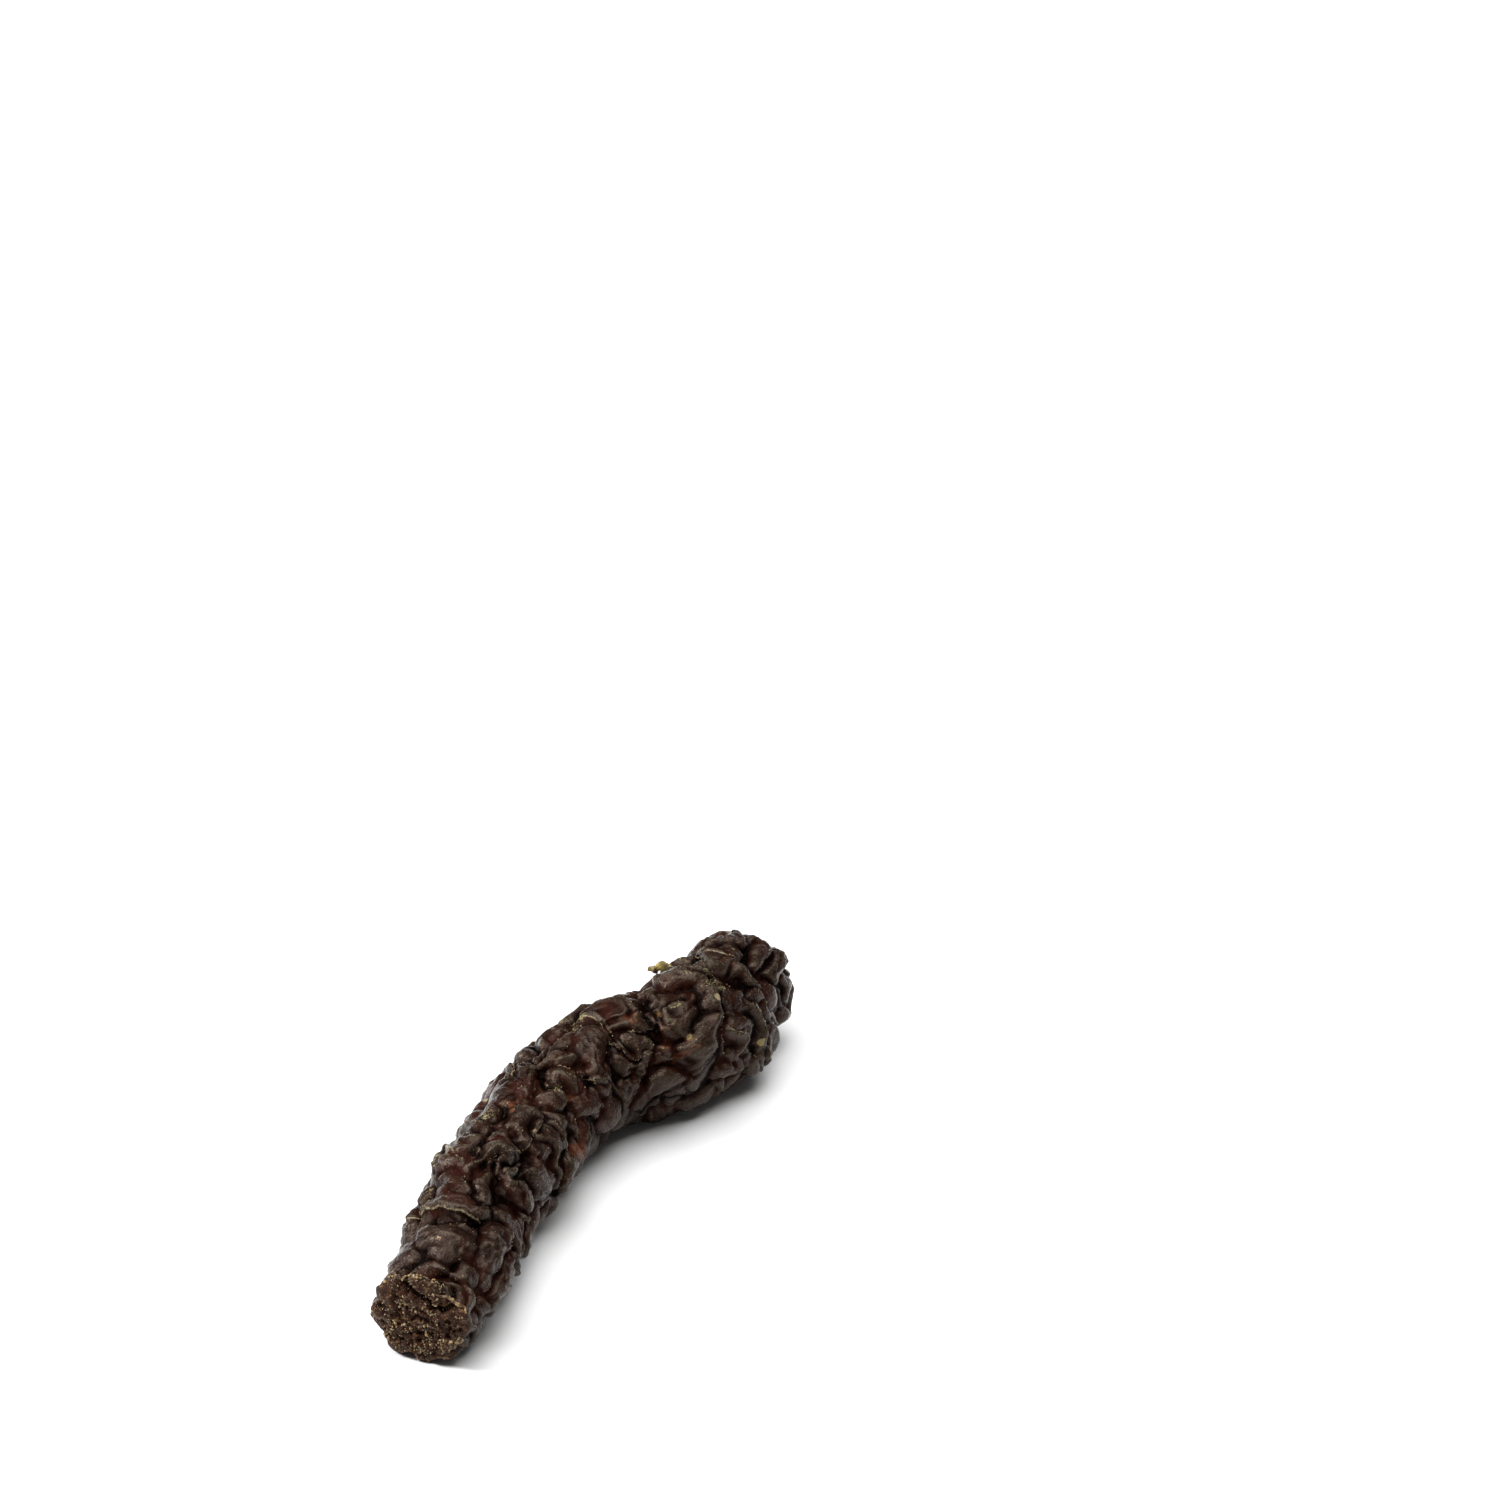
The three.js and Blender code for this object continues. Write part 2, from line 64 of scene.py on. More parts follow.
# Main lobes: place along, place round, half length, half width, height, turn of the long axis
MAIN_LOBES = [
    # on the top and the low Y side, from the cut face to the middle
    (12, 88, 5.4, 5.0, 3.4, 0),
    (15, 146, 8.0, 2.8, 2.5, 8),
    (13, 172, 8.5, 2.6, 2.6, 6),
    (9, 45, 4.4, 3.6, 2.4, 20),
    (24, 84, 4.2, 3.2, 2.0, 0),
    (24, 112, 4.0, 2.9, 2.1, -20),
    (31, 57, 4.2, 3.8, 2.3, 30),
    (32, 191, 5.2, 1.5, 1.9, 14),
    (37, 152, 5.2, 3.4, 2.2, 60),
    (43, 54, 6.0, 4.0, 1.9, -10),
    (46, 105, 5.4, 4.0, 2.0, 40),
    (48, 146, 4.4, 3.4, 2.2, 0),
    (54, 72, 7.6, 5.4, 2.2, 15),
    (52, 184, 3.8, 2.8, 2.3, 20),
    (60, 152, 5.0, 3.4, 2.3, -25),
    # on the top and the low Y side, from the middle to the head
    (66, 144, 4.6, 3.6, 2.1, 50),
    (67, 177, 5.2, 3.8, 2.0, 30),
    (70, 63, 5.0, 3.6, 2.0, 20),
    (71, 108, 5.4, 4.8, 2.6, 10),
    (78, 50, 3.8, 3.4, 2.3, 0),
    (79, 147, 5.0, 3.0, 2.1, 75),
    (80, 111, 2.8, 2.7, 2.2, 0),
    (81, 76, 4.6, 4.2, 2.3, 0),
    (87, 130, 4.2, 3.4, 2.3, -30),
    (88, 100, 3.6, 4.2, 1.9, 0),
    (94, 123, 4.4, 2.8, 2.4, 80),
    (95, 92, 7.2, 3.2, 2.5, 88),
    # folds that run round the neck, and the knobs of the head
    (97, 160, 8.0, 1.7, 1.9, 96),
    (101, 170, 8.5, 1.8, 2.1, 92),
    (101, 212, 6.0, 4.8, 3.4, 60),
    (103, 44, 3.8, 3.4, 2.4, 0),
    (104, 112, 6.5, 2.0, 2.2, 100),
    (107, 160, 4.0, 3.4, 2.0, 40),
    (111, 72, 7.6, 4.0, 2.4, 90),
    (114, 141, 4.6, 4.0, 2.8, 20),
    # the four that the stick rests on
    (14, 268, 5.0, 4.4, 2.6, 0),
    (46, 275, 5.0, 4.2, 2.4, 0),
    (78, 262, 5.2, 4.6, 2.6, 0),
    (103, 272, 5.6, 5.0, 2.8, 0),
]

# Hollows between them: place along, place round, half length, half width, depth, turn
HOLLOWS = [
    (4.5, 100, 1.6, 6.0, 1.2, 0),
    (16, 30, 3.0, 3.0, 0.8, 0),
    (27, 130, 3.0, 5.0, 0.9, 20),
    (50, 165, 3.0, 4.0, 1.0, 0),
    (58, 100, 2.2, 5.0, 0.9, -15),
    (98, 40, 4.0, 7.0, 2.8, 0),
    (109, 185, 4.0, 6.0, 1.8, 0),
    (101, 80, 1.8, 6.5, 1.3, -10),
]

# Lobes drawn at random between those: tries, smallest, largest, spacing
LOBE_SEED = 71
LOBE_PASSES = [(2600, 2.6, 4.6, 0.62), (1500, 1.7, 2.4, 0.8)]
LARGEST_STRETCH = 1.6
LARGEST_TURN = 1.2
LOBE_HEIGHT_SHARE = (0.34, 0.6)
MAIN_HEIGHT_SHARE = 0.85
BARE_RIM = 1.2
DOME_POWER = 0.85
LOBE_DEPTH = 1.3

# How softly the skin spans the valleys between lobes
SPAN_POWER = 2.4
LEAST_SPAN = 0.6
SPAN_SOFTNESS = (0.9, 9.0, 51)

# Edges of loose skin lying over what is next to them: place along, place round, direction towards the
# raised side, half length, how far the edge bows that way, height, how soon the height fades
SKIN_EDGES = [
    (18.9, 71, 7, 9.4, -0.7, 1.3, 5.0),
    (19.5, 170, 203, 6.6, -1.2, 0.9, 5.0),
    (35.2, 59, 220, 6.7, -1.0, 0.9, 4.0),
    (39.1, 122, -72, 8.7, -2.0, 0.9, 4.0),
    (60.0, 55, 239, 5.7, -0.5, 0.7, 4.0),
    (62.6, 123, -30, 4.5, 0.6, 0.8, 4.0),
    (74.8, 93, -5, 5.5, -0.2, 0.9, 4.0),
    (76.0, 140, -51, 4.6, -1.4, 0.8, 4.0),
    (81.2, 124, 264, 3.4, -1.0, 0.6, 3.0),
    (82.3, 84, 183, 5.5, 0.8, 0.9, 4.0),
    (93.5, 158, 199, 4.0, 0.2, 0.7, 2.5),
    (96.6, 84, 138, 6.8, -2.0, 1.4, 6.0),
    (97.2, 178, 156, 7.0, -1.0, 0.9, 2.5),
    (100.0, 160, 180, 8.5, 1.0, 1.0, 3.0),
    (104.0, 176, 180, 8.0, 0.8, 1.0, 3.0),
    (104.7, 77, 0, 4.6, 0.0, 0.8, 2.5),
]
MEAN_RADIUS = 10.5
EDGE_WIDTH = 0.55
EDGE_END, EDGE_END_FADE = 1.1, 0.4
NO_EDGE = 9.0

# Teeth and notches of the cut rim: place round, how far out, half span
RIM_TEETH = [
    (335, 1.6, 14),
    (303, 2.2, 14),
    (288, -1.0, 9),
    (264, 1.0, 14),
    (188, -0.8, 30),
    (138, 2.2, 20),
    (118, -0.8, 7),
    (96, 1.6, 18),
    (56, 0.8, 16),
    (20, -0.8, 14),
]
TOOTH_FADE = 2.0

# The crease that crosses the top of the cut face: height over its middle, depth, half width
FACE_CREASE = (5.6, 1.3, 0.6)

# Relief over the whole stick: height, size of the waves, seed
SKIN_LEVEL = -0.75
SWELL = (0.9, 15.0, 3)
BROAD_WARP = (2.6, 7.0, 11)
CLOSE_WARP = (0.95, 2.8, 21)

# Folds, each rising slowly and dropping off at a crease: height, size, folds in a wave, seed
FOLD_HEIGHT, FOLD_SIZE, FOLD_COUNT = 0.95, 8.0, 3.2
LENGTHWISE_SEED, CROSSWISE_SEED = 5, 6
FOLD_SQUEEZE = 0.55
FOLD_DROP = 0.16
FOLD_MIX = (1.6, 14.0, 7)
FOLD_REACH = (1.5, 11.0, 52)

# How far the lobes lean over, and how much of that is towards the cut face
LEAN = (0.75, 16.0, 41)
LEAN_TOWARDS_CUT = 0.35

# The cut face's torn grain: height, size, seed, where it begins, and how it fades at the rim
COARSE_GRAIN = (0.55, 2.2, 31)
CLOSE_GRAIN = (0.4, 1.0, 32)
FACE_FROM, FACE_BLEND = 0.25, 0.17
RIM_GRAIN, RIM_GRAIN_SPAN = 0.25, 0.11
RIM_POWER = 7

# Relief too fine for the solid: puckers, wrinkles, and the groove between two lobes
PUCKER = (0.65, 2.2, 8)
PUCKER_REACH = (1.4, 7.0, 53)
RIDGE = (0.3, 4.5, 10)
RIDGE_HALF_WIDTH = 0.13
RIDGE_SQUEEZE = 0.6
RIDGE_REACH = (1.8, 9.0, 54)
WRINKLE = (0.14, 1.05, 9)
GROOVE_DEPTH, GROOVE_WIDTH = 0.25, 0.18
GRIT = (0.28, 0.6, 33)

# How far the fine relief is let down, so that its mean stays on the solid
FINE_LEVEL = -0.3

# Spots of their own colour: place along, place round, half length, half width
ORANGE_SPOTS = [
    (48.7, 86, 1.3, 1.0),
    (57, 133, 1.6, 1.0),
    (86, 156, 1.8, 1.1),
    (52, 182, 3.4, 2.6),
    (80, 112, 1.6, 1.5),
    (27, 298, 2.0, 1.4),
    (66, 330, 1.7, 1.2),
    (91, 12, 1.8, 1.3),
]
FLECK_SPOTS = [
    (25.7, 45, 2.0, 1.0),
    (34, 50, 5.0, 5.0),
    (3.5, 84, 2.4, 6.0),
    (87.5, 109, 1.5, 1.1),
    (56, 118, 3.0, 2.0),
    (45, 66, 4.0, 3.0),
    (101, 62, 4.0, 5.0),
    (97, 108, 3.0, 4.0),
    (72, 78, 4.0, 3.0),
    (40, 230, 5.0, 4.0),
    (88, 300, 5.0, 4.0),
    (12, 330, 4.0, 4.0),
]
SPOT_WOBBLE = (1.1, 1.7, 61)

# Points of the solid's own grid and of the fine one
SOLID_RINGS, SOLID_ROUND = 86, 58
FINE_RINGS, FINE_ROUND = 446, 220
OUTLINE_STEPS = 400
OUTLINE_RADIUS = 9.0
LOBE_PLACES = 600

# How many times the fine grid is averaged, to tell crests from creases, close to and further off
CLOSE_BLUR, BROAD_BLUR = 4, 40
STANDING_BLUR = 3


# Random numbers and waves

WORD = 0xFFFFFFFF
WAVE_GAIN = 1.6
SLOPE_BITS, SLOPE_LEVELS = 10, 1023
SLOPE_STEP = 0.001
REACH_MARGIN = 0.1


def seeded_draws(seed):
    """A seeded row of random numbers."""
    state = seed

    def draw(low, high):
        nonlocal state
        state = (state + 0x6D2B79F5) & WORD
        t = ((state ^ (state >> 15)) * (state | 1)) & WORD
        t ^= (t + ((t ^ (t >> 7)) * (t | 61))) & WORD
        t = (t ^ (t >> 14)) & WORD
        return low + (high - low) * t / 2**32

    return draw


def smooth(stations, t):
    """A smooth line through evenly spaced station values, for t from 0 to 1."""
    v = np.asarray(stations, float)
    last = len(v) - 1
    x = np.clip(np.asarray(t, float), 0, 1) * last
    i = np.minimum(x.astype(int), last - 1)
    f = x - i
    a, b, c, d = v[np.maximum(i - 1, 0)], v[i], v[i + 1], v[np.minimum(i + 2, last)]
    return b + 0.5 * f * (c - a + f * (2 * a - 5 * b + 4 * c - d + f * (3 * (b - c) + d - a)))


def lattice_number(x, y, z, seed):
    """A whole number mixed from a lattice point, the same on every run."""
    h = (x * 374761393 + y * 668265263 + z * 1440662683 + seed * 974634777) & WORD
    h = ((h ^ (h >> 13)) * 1274126177) & WORD
    h = ((h ^ (h >> 16)) * 2246822519) & WORD
    return h ^ (h >> 15)


def waves(p, size, seed):
    """Smooth random waves in space, about -1 to 1, with one wave in each size."""
    x = p / size
    cell = np.floor(x).astype(np.int64)
    f = x - cell
    ease = f * f * f * (f * (f * 6 - 15) + 10)
    total = np.zeros(p.shape[:-1])
    for corner in range(8):
        o = np.array([corner & 1, (corner >> 1) & 1, corner >> 2])
        h = lattice_number(cell[..., 0] + o[0], cell[..., 1] + o[1], cell[..., 2] + o[2], seed)
        d = f - o
        rise = 0
        for k in range(3):
            rise = rise + (2 * ((h >> (SLOPE_BITS * k)) & SLOPE_LEVELS) / SLOPE_LEVELS - 1) * d[..., k]
        share = np.where(o, ease, 1 - ease)
        total += rise * share[..., 0] * share[..., 1] * share[..., 2]
    return total * WAVE_GAIN


def unit(vectors):
    """Vectors made one long."""
    return vectors / (np.linalg.norm(vectors, axis=-1, keepdims=True) + 1e-12)


def wave_vector(p, size, seed):
    """Three independent waves as one vector."""
    return np.stack([waves(p, size, seed + k) for k in range(3)], -1)


# The plain stick

def roundings(along):
    """How far into either end's rounding a place is, from 0 on the side to 1 at the very end."""
    cut = np.clip(1 - along / CUT_ROUNDING, 0, 1)
    head = np.clip(1 - (STICK_LENGTH - along) / HEAD_ROUNDING, 0, 1)
    return cut, head


def section_share(along):
    """The share of the full section that is left at a place along."""
    cut, head = roundings(along)
    at_cut = (1 - cut**CUT_SQUARENESS) ** (1 / CUT_SQUARENESS)
    at_head = (1 - head**HEAD_SQUARENESS) ** (1 / HEAD_SQUARENESS)
    return at_cut * at_head


def outline_places(count):
    """Places along and their shares of the section, evenly spaced from pole to pole."""
    turn = np.linspace(0, math.pi / 2, OUTLINE_STEPS)
    back = turn[::-1]
    cut_along = CUT_ROUNDING * (1 - np.cos(turn) ** (2 / CUT_SQUARENESS))
    head_along = STICK_LENGTH - HEAD_ROUNDING * (1 - np.cos(back) ** (2 / HEAD_SQUARENESS))
    along = np.concatenate([cut_along, head_along])
    share = np.concatenate([np.sin(turn) ** (2 / CUT_SQUARENESS), np.sin(back) ** (2 / HEAD_SQUARENESS)])
    reached = np.concatenate([[0], np.cumsum(np.hypot(np.diff(along), OUTLINE_RADIUS * np.diff(share)))])
    want = np.linspace(0, reached[-1], count)
    return np.interp(want, reached, along), np.interp(want, reached, share)


def straight_point(along, share, around):
    """A point of the plain stick laid straight along X, and the direction straight out of it there."""
    t = along / STICK_LENGTH
    width, height = smooth(HALF_WIDTH, t), smooth(HALF_HEIGHT, t)
    cut, head = roundings(along)
    cos, sin = np.cos(around), np.sin(around)
    sideways = np.where(head > 0, share ** (HEAD_SQUARENESS - 1), 1.0)
    sideways = np.where(cut > 0, share ** (CUT_SQUARENESS - 1), sideways)
    endways = head ** (HEAD_SQUARENESS - 1) / HEAD_ROUNDING - cut ** (CUT_SQUARENESS - 1) / CUT_ROUNDING
    point = np.stack([along, share * width * cos, share * height * sin], -1)
    out = np.stack([endways + 0 * cos, sideways * cos / width, sideways * sin / height], -1)
    return point, unit(out)


def bend_frame(along):
    """The middle line's point and its three directions at each place along."""
    t = along / STICK_LENGTH
    before, after = np.maximum(t - SLOPE_STEP, 0), np.minimum(t + SLOPE_STEP, 1)
    run = (after - before) * STICK_LENGTH
    slope_y = (smooth(MIDDLE_Y, after) - smooth(MIDDLE_Y, before)) / run
    slope_z = (smooth(MIDDLE_Z, after) - smooth(MIDDLE_Z, before)) / run
    forward = unit(np.stack([np.ones_like(slope_y), slope_y, slope_z], -1))
    sideways = unit(np.stack([-forward[..., 1], forward[..., 0], 0 * slope_y], -1))
    middle = np.stack([along, smooth(MIDDLE_Y, t), smooth(MIDDLE_Z, t)], -1)
    return middle, forward, sideways, np.cross(forward, sideways)


def bent(point, along):
    """Bends points of the straight stick onto the real middle line, no lower than the ground."""
    middle, forward, sideways, upward = bend_frame(along)
    place = middle + (point[..., :1] - along[..., None]) * forward
    place = place + point[..., 1:2] * sideways + point[..., 2:3] * upward
    place[..., 2] = np.maximum(place[..., 2], 0.0)
    return place


def warped_point(point):
    """The point moved by slow and quick waves, which makes what is worked out from it irregular."""
    moved = point + BROAD_WARP[0] * wave_vector(point, *BROAD_WARP[1:])
    return moved + CLOSE_WARP[0] * wave_vector(point, *CLOSE_WARP[1:])


# Lobes

def lobe_at(centre, out, around, half_length, half_width, height, turn):
    """One lobe: its centre, and its three axes divided by its half sizes."""
    across = np.array([0.0, -math.sin(around), math.cos(around)])
    across = unit(across - out * (across @ out))
    lengthways = np.cross(across, out)
    long_axis = lengthways * math.cos(turn) + across * math.sin(turn)
    wide_axis = np.cross(out, long_axis)
    spread = math.sqrt(half_length * half_width)
    axes = np.stack([long_axis / half_length, wide_axis / half_width, out / (LOBE_DEPTH * half_width)])
    reach = max(half_length, LOBE_DEPTH * spread) + REACH_MARGIN
    return {"centre": centre, "axes": axes, "height": height, "spread": spread, "reach": reach}


def listed_lobes(rows, height_share):
    """The lobes or hollows of a list."""
    along, around, half_length, half_width, height, turn = np.array(rows, float).T
    around, turn = np.radians(around), np.radians(turn)
    point, out = straight_point(along, section_share(along), around)
    sizes = zip(warped_point(point), out, around, half_length, half_width, height * height_share, turn)
    return [lobe_at(*size) for size in sizes]


def make_lobes():
    """The main lobes, and the random ones wherever they have room."""
    lobes = listed_lobes(MAIN_LOBES, MAIN_HEIGHT_SHARE)
    places_along, places_share = outline_places(LOBE_PLACES)
    draw = seeded_draws(LOBE_SEED)
    spans = [(0, LOBE_PLACES), (0, 2 * math.pi), (0, 1), None, (1, LARGEST_STRETCH),
             (-LARGEST_TURN, LARGEST_TURN), LOBE_HEIGHT_SHARE]
    for tries, smallest, largest, spacing in LOBE_PASSES:
        spans[3] = (smallest, largest)
        drawn = np.array([[draw(*span) for span in spans] for _ in range(tries)]).T
        place, around, chance, radius, stretch, turn, height_share = drawn
        along, share = places_along[place.astype(int)], places_share[place.astype(int)]
        point, out = straight_point(along, share, around)
        centre = warped_point(point)
        for k in np.flatnonzero((chance < share) & (along > BARE_RIM)):
            centres = np.array([lobe["centre"] for lobe in lobes])
            spreads = np.array([lobe["spread"] for lobe in lobes])
            if (np.linalg.norm(centres - centre[k], axis=1) <= spacing * (radius[k] + spreads)).any():
                continue
            sizes = (radius[k] * stretch[k], radius[k] / stretch[k], height_share[k] * radius[k], turn[k])
            lobes.append(lobe_at(centre[k], out[k], around[k], *sizes))
    return lobes


def hollow_depth(point, hollows):
    """How deep the hollows are over each point."""
    depth = np.zeros(point.shape[:-1])
    for hollow in hollows:
        apart = (((point - hollow["centre"]) @ hollow["axes"].T) ** 2).sum(-1)
        depth += hollow["height"] * np.clip(1 - apart, 0, 1) ** 2
    return depth


def lobe_heights(point, lobes):
    """Over each point, the highest and next highest lobe, and the lobes' soft union."""
    highest = np.zeros(point.shape[:-1])
    next_highest = np.zeros(point.shape[:-1])
    total = np.zeros(point.shape[:-1])
    for lobe in lobes:
        near = np.abs(point[..., 0] - lobe["centre"][0]) <= lobe["reach"]
        apart = (((point[near] - lobe["centre"]) @ lobe["axes"].T) ** 2).sum(-1)
        dome = lobe["height"] * np.clip(1 - apart, 0, 1) ** DOME_POWER
        before = highest[near]
        next_highest[near] = np.maximum(next_highest[near], np.minimum(before, dome))
        highest[near] = np.maximum(before, dome)
        total[near] += dome**SPAN_POWER
    return highest, next_highest, total ** (1 / SPAN_POWER)


# The dressed surface

def share_of(point, contrast, size, seed):
    """A smooth share from 0 to 1 that changes from place to place."""
    return np.clip(0.5 + contrast * waves(point, size, seed), 0, 1)


def fold_profile(level):
    """The height over one fold, from 0 to 1: a slow round rise, then a quick drop to the next crease."""
    part = level - np.floor(level)
    rise = np.sin(math.pi / 2 * np.minimum(part / (1 - FOLD_DROP), 1))
    fall = np.clip((1 - part) / FOLD_DROP, 0, 1)
    return rise * fall * fall * (3 - 2 * fall)


def folds(point, warped):
    """Folds of loose skin: along the stick in some places and round it in others."""
    lengthwise = FOLD_COUNT * waves(warped * [FOLD_SQUEEZE, 1, 1], FOLD_SIZE, LENGTHWISE_SEED)
    crosswise = FOLD_COUNT * waves(warped * [1, FOLD_SQUEEZE, FOLD_SQUEEZE], FOLD_SIZE, CROSSWISE_SEED)
    mix = share_of(point, *FOLD_MIX)
    height = fold_profile(lengthwise) * mix + fold_profile(crosswise) * (1 - mix)
    return height, share_of(point, *FOLD_REACH)


def smoothstep(x):
    """A soft step from 0 to 1 as x goes from 0 to 1."""
    x = np.clip(x, 0, 1)
    return x * x * (3 - 2 * x)


def skin_edges(warped):
    """The raised skin's height, the distance past the nearest edge or NO_EDGE, and that edge's rise."""
    round_place = np.degrees(np.arctan2(warped[..., 2], warped[..., 1]))
    height = np.zeros(warped.shape[:-1])
    nearest = np.full(warped.shape[:-1], NO_EDGE)
    nearest_rise = np.zeros(warped.shape[:-1])
    for along, around, direction, half_length, bow, rise, fade in SKIN_EDGES:
        ahead = warped[..., 0] - along
        aside = np.radians((round_place - around + 180) % 360 - 180) * MEAN_RADIUS
        cos, sin = math.cos(math.radians(direction)), math.sin(math.radians(direction))
        beside = (aside * cos - ahead * sin) / half_length
        past = ahead * cos + aside * sin + bow * beside**2
        reach = smoothstep((EDGE_END - np.abs(beside)) / EDGE_END_FADE)
        height += rise * reach * smoothstep(past / EDGE_WIDTH) * np.exp(-np.maximum(past, 0) / fade)
        nearer = (np.abs(past) < np.abs(nearest)) & (reach > 0.5)
        nearest, nearest_rise = np.where(nearer, past, nearest), np.where(nearer, rise, nearest_rise)
    return height, nearest, nearest_rise


def rim_teeth(along, around):
    """How far the cut rim reaches out past the plain section."""
    reach = np.zeros(around.shape)
    for place, out, half_span in RIM_TEETH:
        off = (np.degrees(around) - place + 180) % 360 - 180
        reach += out * np.clip(1 - (off / half_span) ** 2, 0, 1)
    return reach * np.exp(-along / TOOTH_FADE)


def spot_share(point, around, spots):
    """How far each point is into one of the spots, from 0 outside to 1 at its middle."""
    wobble = SPOT_WOBBLE[0] * waves(point, *SPOT_WOBBLE[1:])
    share = np.zeros(around.shape)
    for along, place, half_length, half_width in spots:
        ahead = (point[..., 0] - along) / half_length
        aside = np.radians((np.degrees(around) - place + 180) % 360 - 180) * MEAN_RADIUS / half_width
        share = np.maximum(share, 1 - np.hypot(ahead, aside) * (1 + wobble))
    return share


def surface(along, share, around, lobes, fine):
    """The stick's points, with the fields that its colours follow. fine adds what the solid leaves out."""
    point, out = straight_point(along, share, around)
    warped = warped_point(point)
    highest, next_highest, spanned = lobe_heights(warped, lobes)
    gap = highest - next_highest
    lobe = highest + np.maximum(LEAST_SPAN, share_of(point, *SPAN_SOFTNESS)) * (spanned - highest)
    fold, fold_reach = folds(point, warped)
    edge_height, edge, edge_rise = skin_edges(point + (warped - point) / 2)
    relief = SKIN_LEVEL + lobe + edge_height + SWELL[0] * waves(point, *SWELL[1:])
    relief = relief + FOLD_HEIGHT * fold * fold_reach + rim_teeth(along, around)
    relief = relief - hollow_depth(warped, listed_lobes(HOLLOWS, 1))
    if fine:
        pucker = PUCKER[0] * np.abs(waves(warped, *PUCKER[1:]))
        squeezed = warped * [RIDGE_SQUEEZE, 1, 1]
        ridge = np.clip(1 - np.abs(waves(squeezed, *RIDGE[1:])) / RIDGE_HALF_WIDTH, 0, 1)
        relief = relief + FINE_LEVEL + pucker * share_of(point, *PUCKER_REACH)
        relief = relief + RIDGE[0] * ridge * ridge * share_of(point, *RIDGE_REACH)
        relief = relief + WRINKLE[0] * np.abs(waves(warped, *WRINKLE[1:]))
        groove = GROOVE_DEPTH * (1 - share_of(point, *SPAN_SOFTNESS))
        relief = relief - groove * np.exp(-gap / GROOVE_WIDTH)

    rim = share**RIM_POWER
    cut, _head = roundings(along)
    sideways = np.stack([0 * around, np.cos(around) * rim, np.sin(around) * rim], -1)
    dressed = point + np.where(cut[..., None] > 0, sideways, out) * relief[..., None]

    lean = wave_vector(point, *LEAN[1:])
    lean[..., 0] -= LEAN_TOWARDS_CUT
    lean -= out * (lean * out).sum(-1, keepdims=True)
    dressed = dressed + lean * (LEAN[0] * lobe * rim)[..., None]

    face = np.clip((cut - FACE_FROM) / FACE_BLEND, 0, 1)
    grain = COARSE_GRAIN[0] * waves(point, *COARSE_GRAIN[1:])
    grain = grain + CLOSE_GRAIN[0] * waves(point, *CLOSE_GRAIN[1:])
    if fine:
        grain = grain + GRIT[0] * np.abs(waves(point, *GRIT[1:]))
    dressed[..., 0] -= face * np.clip((1 - share) / RIM_GRAIN_SPAN, RIM_GRAIN, 1) * grain
    crease_height, crease_depth, crease_width = FACE_CREASE
    off_crease = (warped[..., 2] - crease_height) / crease_width
    dressed[..., 0] += face * crease_depth * np.exp(-off_crease * off_crease)
    fields = {"edge": edge, "edge_rise": edge_rise, "face": face}
    if fine:
        fields["orange"] = spot_share(point, around, ORANGE_SPOTS)
        fields["fleck"] = spot_share(point, around, FLECK_SPOTS)
    return bent(dressed, along), dressed, fields


def grid(rings, points_round):
    """Places along, shares of the section and places round of a closed grid of points."""
    along, share = outline_places(rings)
    around = -2 * math.pi * np.arange(points_round) / points_round
    shape = (rings, points_round)
    return (np.broadcast_to(along[:, None], shape), np.broadcast_to(share[:, None], shape),
            np.broadcast_to(around, shape))


def solid_shift(lobes):
    """What puts the solid's origin below the middle of its box."""
    place, _, _ = surface(*grid(SOLID_RINGS, SOLID_ROUND), lobes, fine=False)
    low, high = place.reshape(-1, 3).min(0), place.reshape(-1, 3).max(0)
    return np.array([(low[0] + high[0]) / 2, (low[1] + high[1]) / 2, low[2]])


def blurred(values, steps):
    """The values of a grid, each averaged with its neighbours a number of times."""
    for _ in range(steps):
        values = values + np.roll(values, 1, 1) + np.roll(values, -1, 1)
        before, after = values[:1], values[-1:]
        values = (values + np.concatenate([before, values[:-1]]) + np.concatenate([values[1:], after])) / 9
    return values


def outward(place, steps):
    """The direction out of the surface at each point of a grid, averaged a number of times."""
    normal = np.cross(np.gradient(place, axis=0), np.roll(place, -1, 1) - np.roll(place, 1, 1))
    return unit(blurred(normal, steps))


def standing(place, steps):
    """How far each point stands out of its surroundings: crests above 0 and creases below."""
    return ((place - blurred(place, steps)) * outward(place, STANDING_BLUR)).sum(-1)


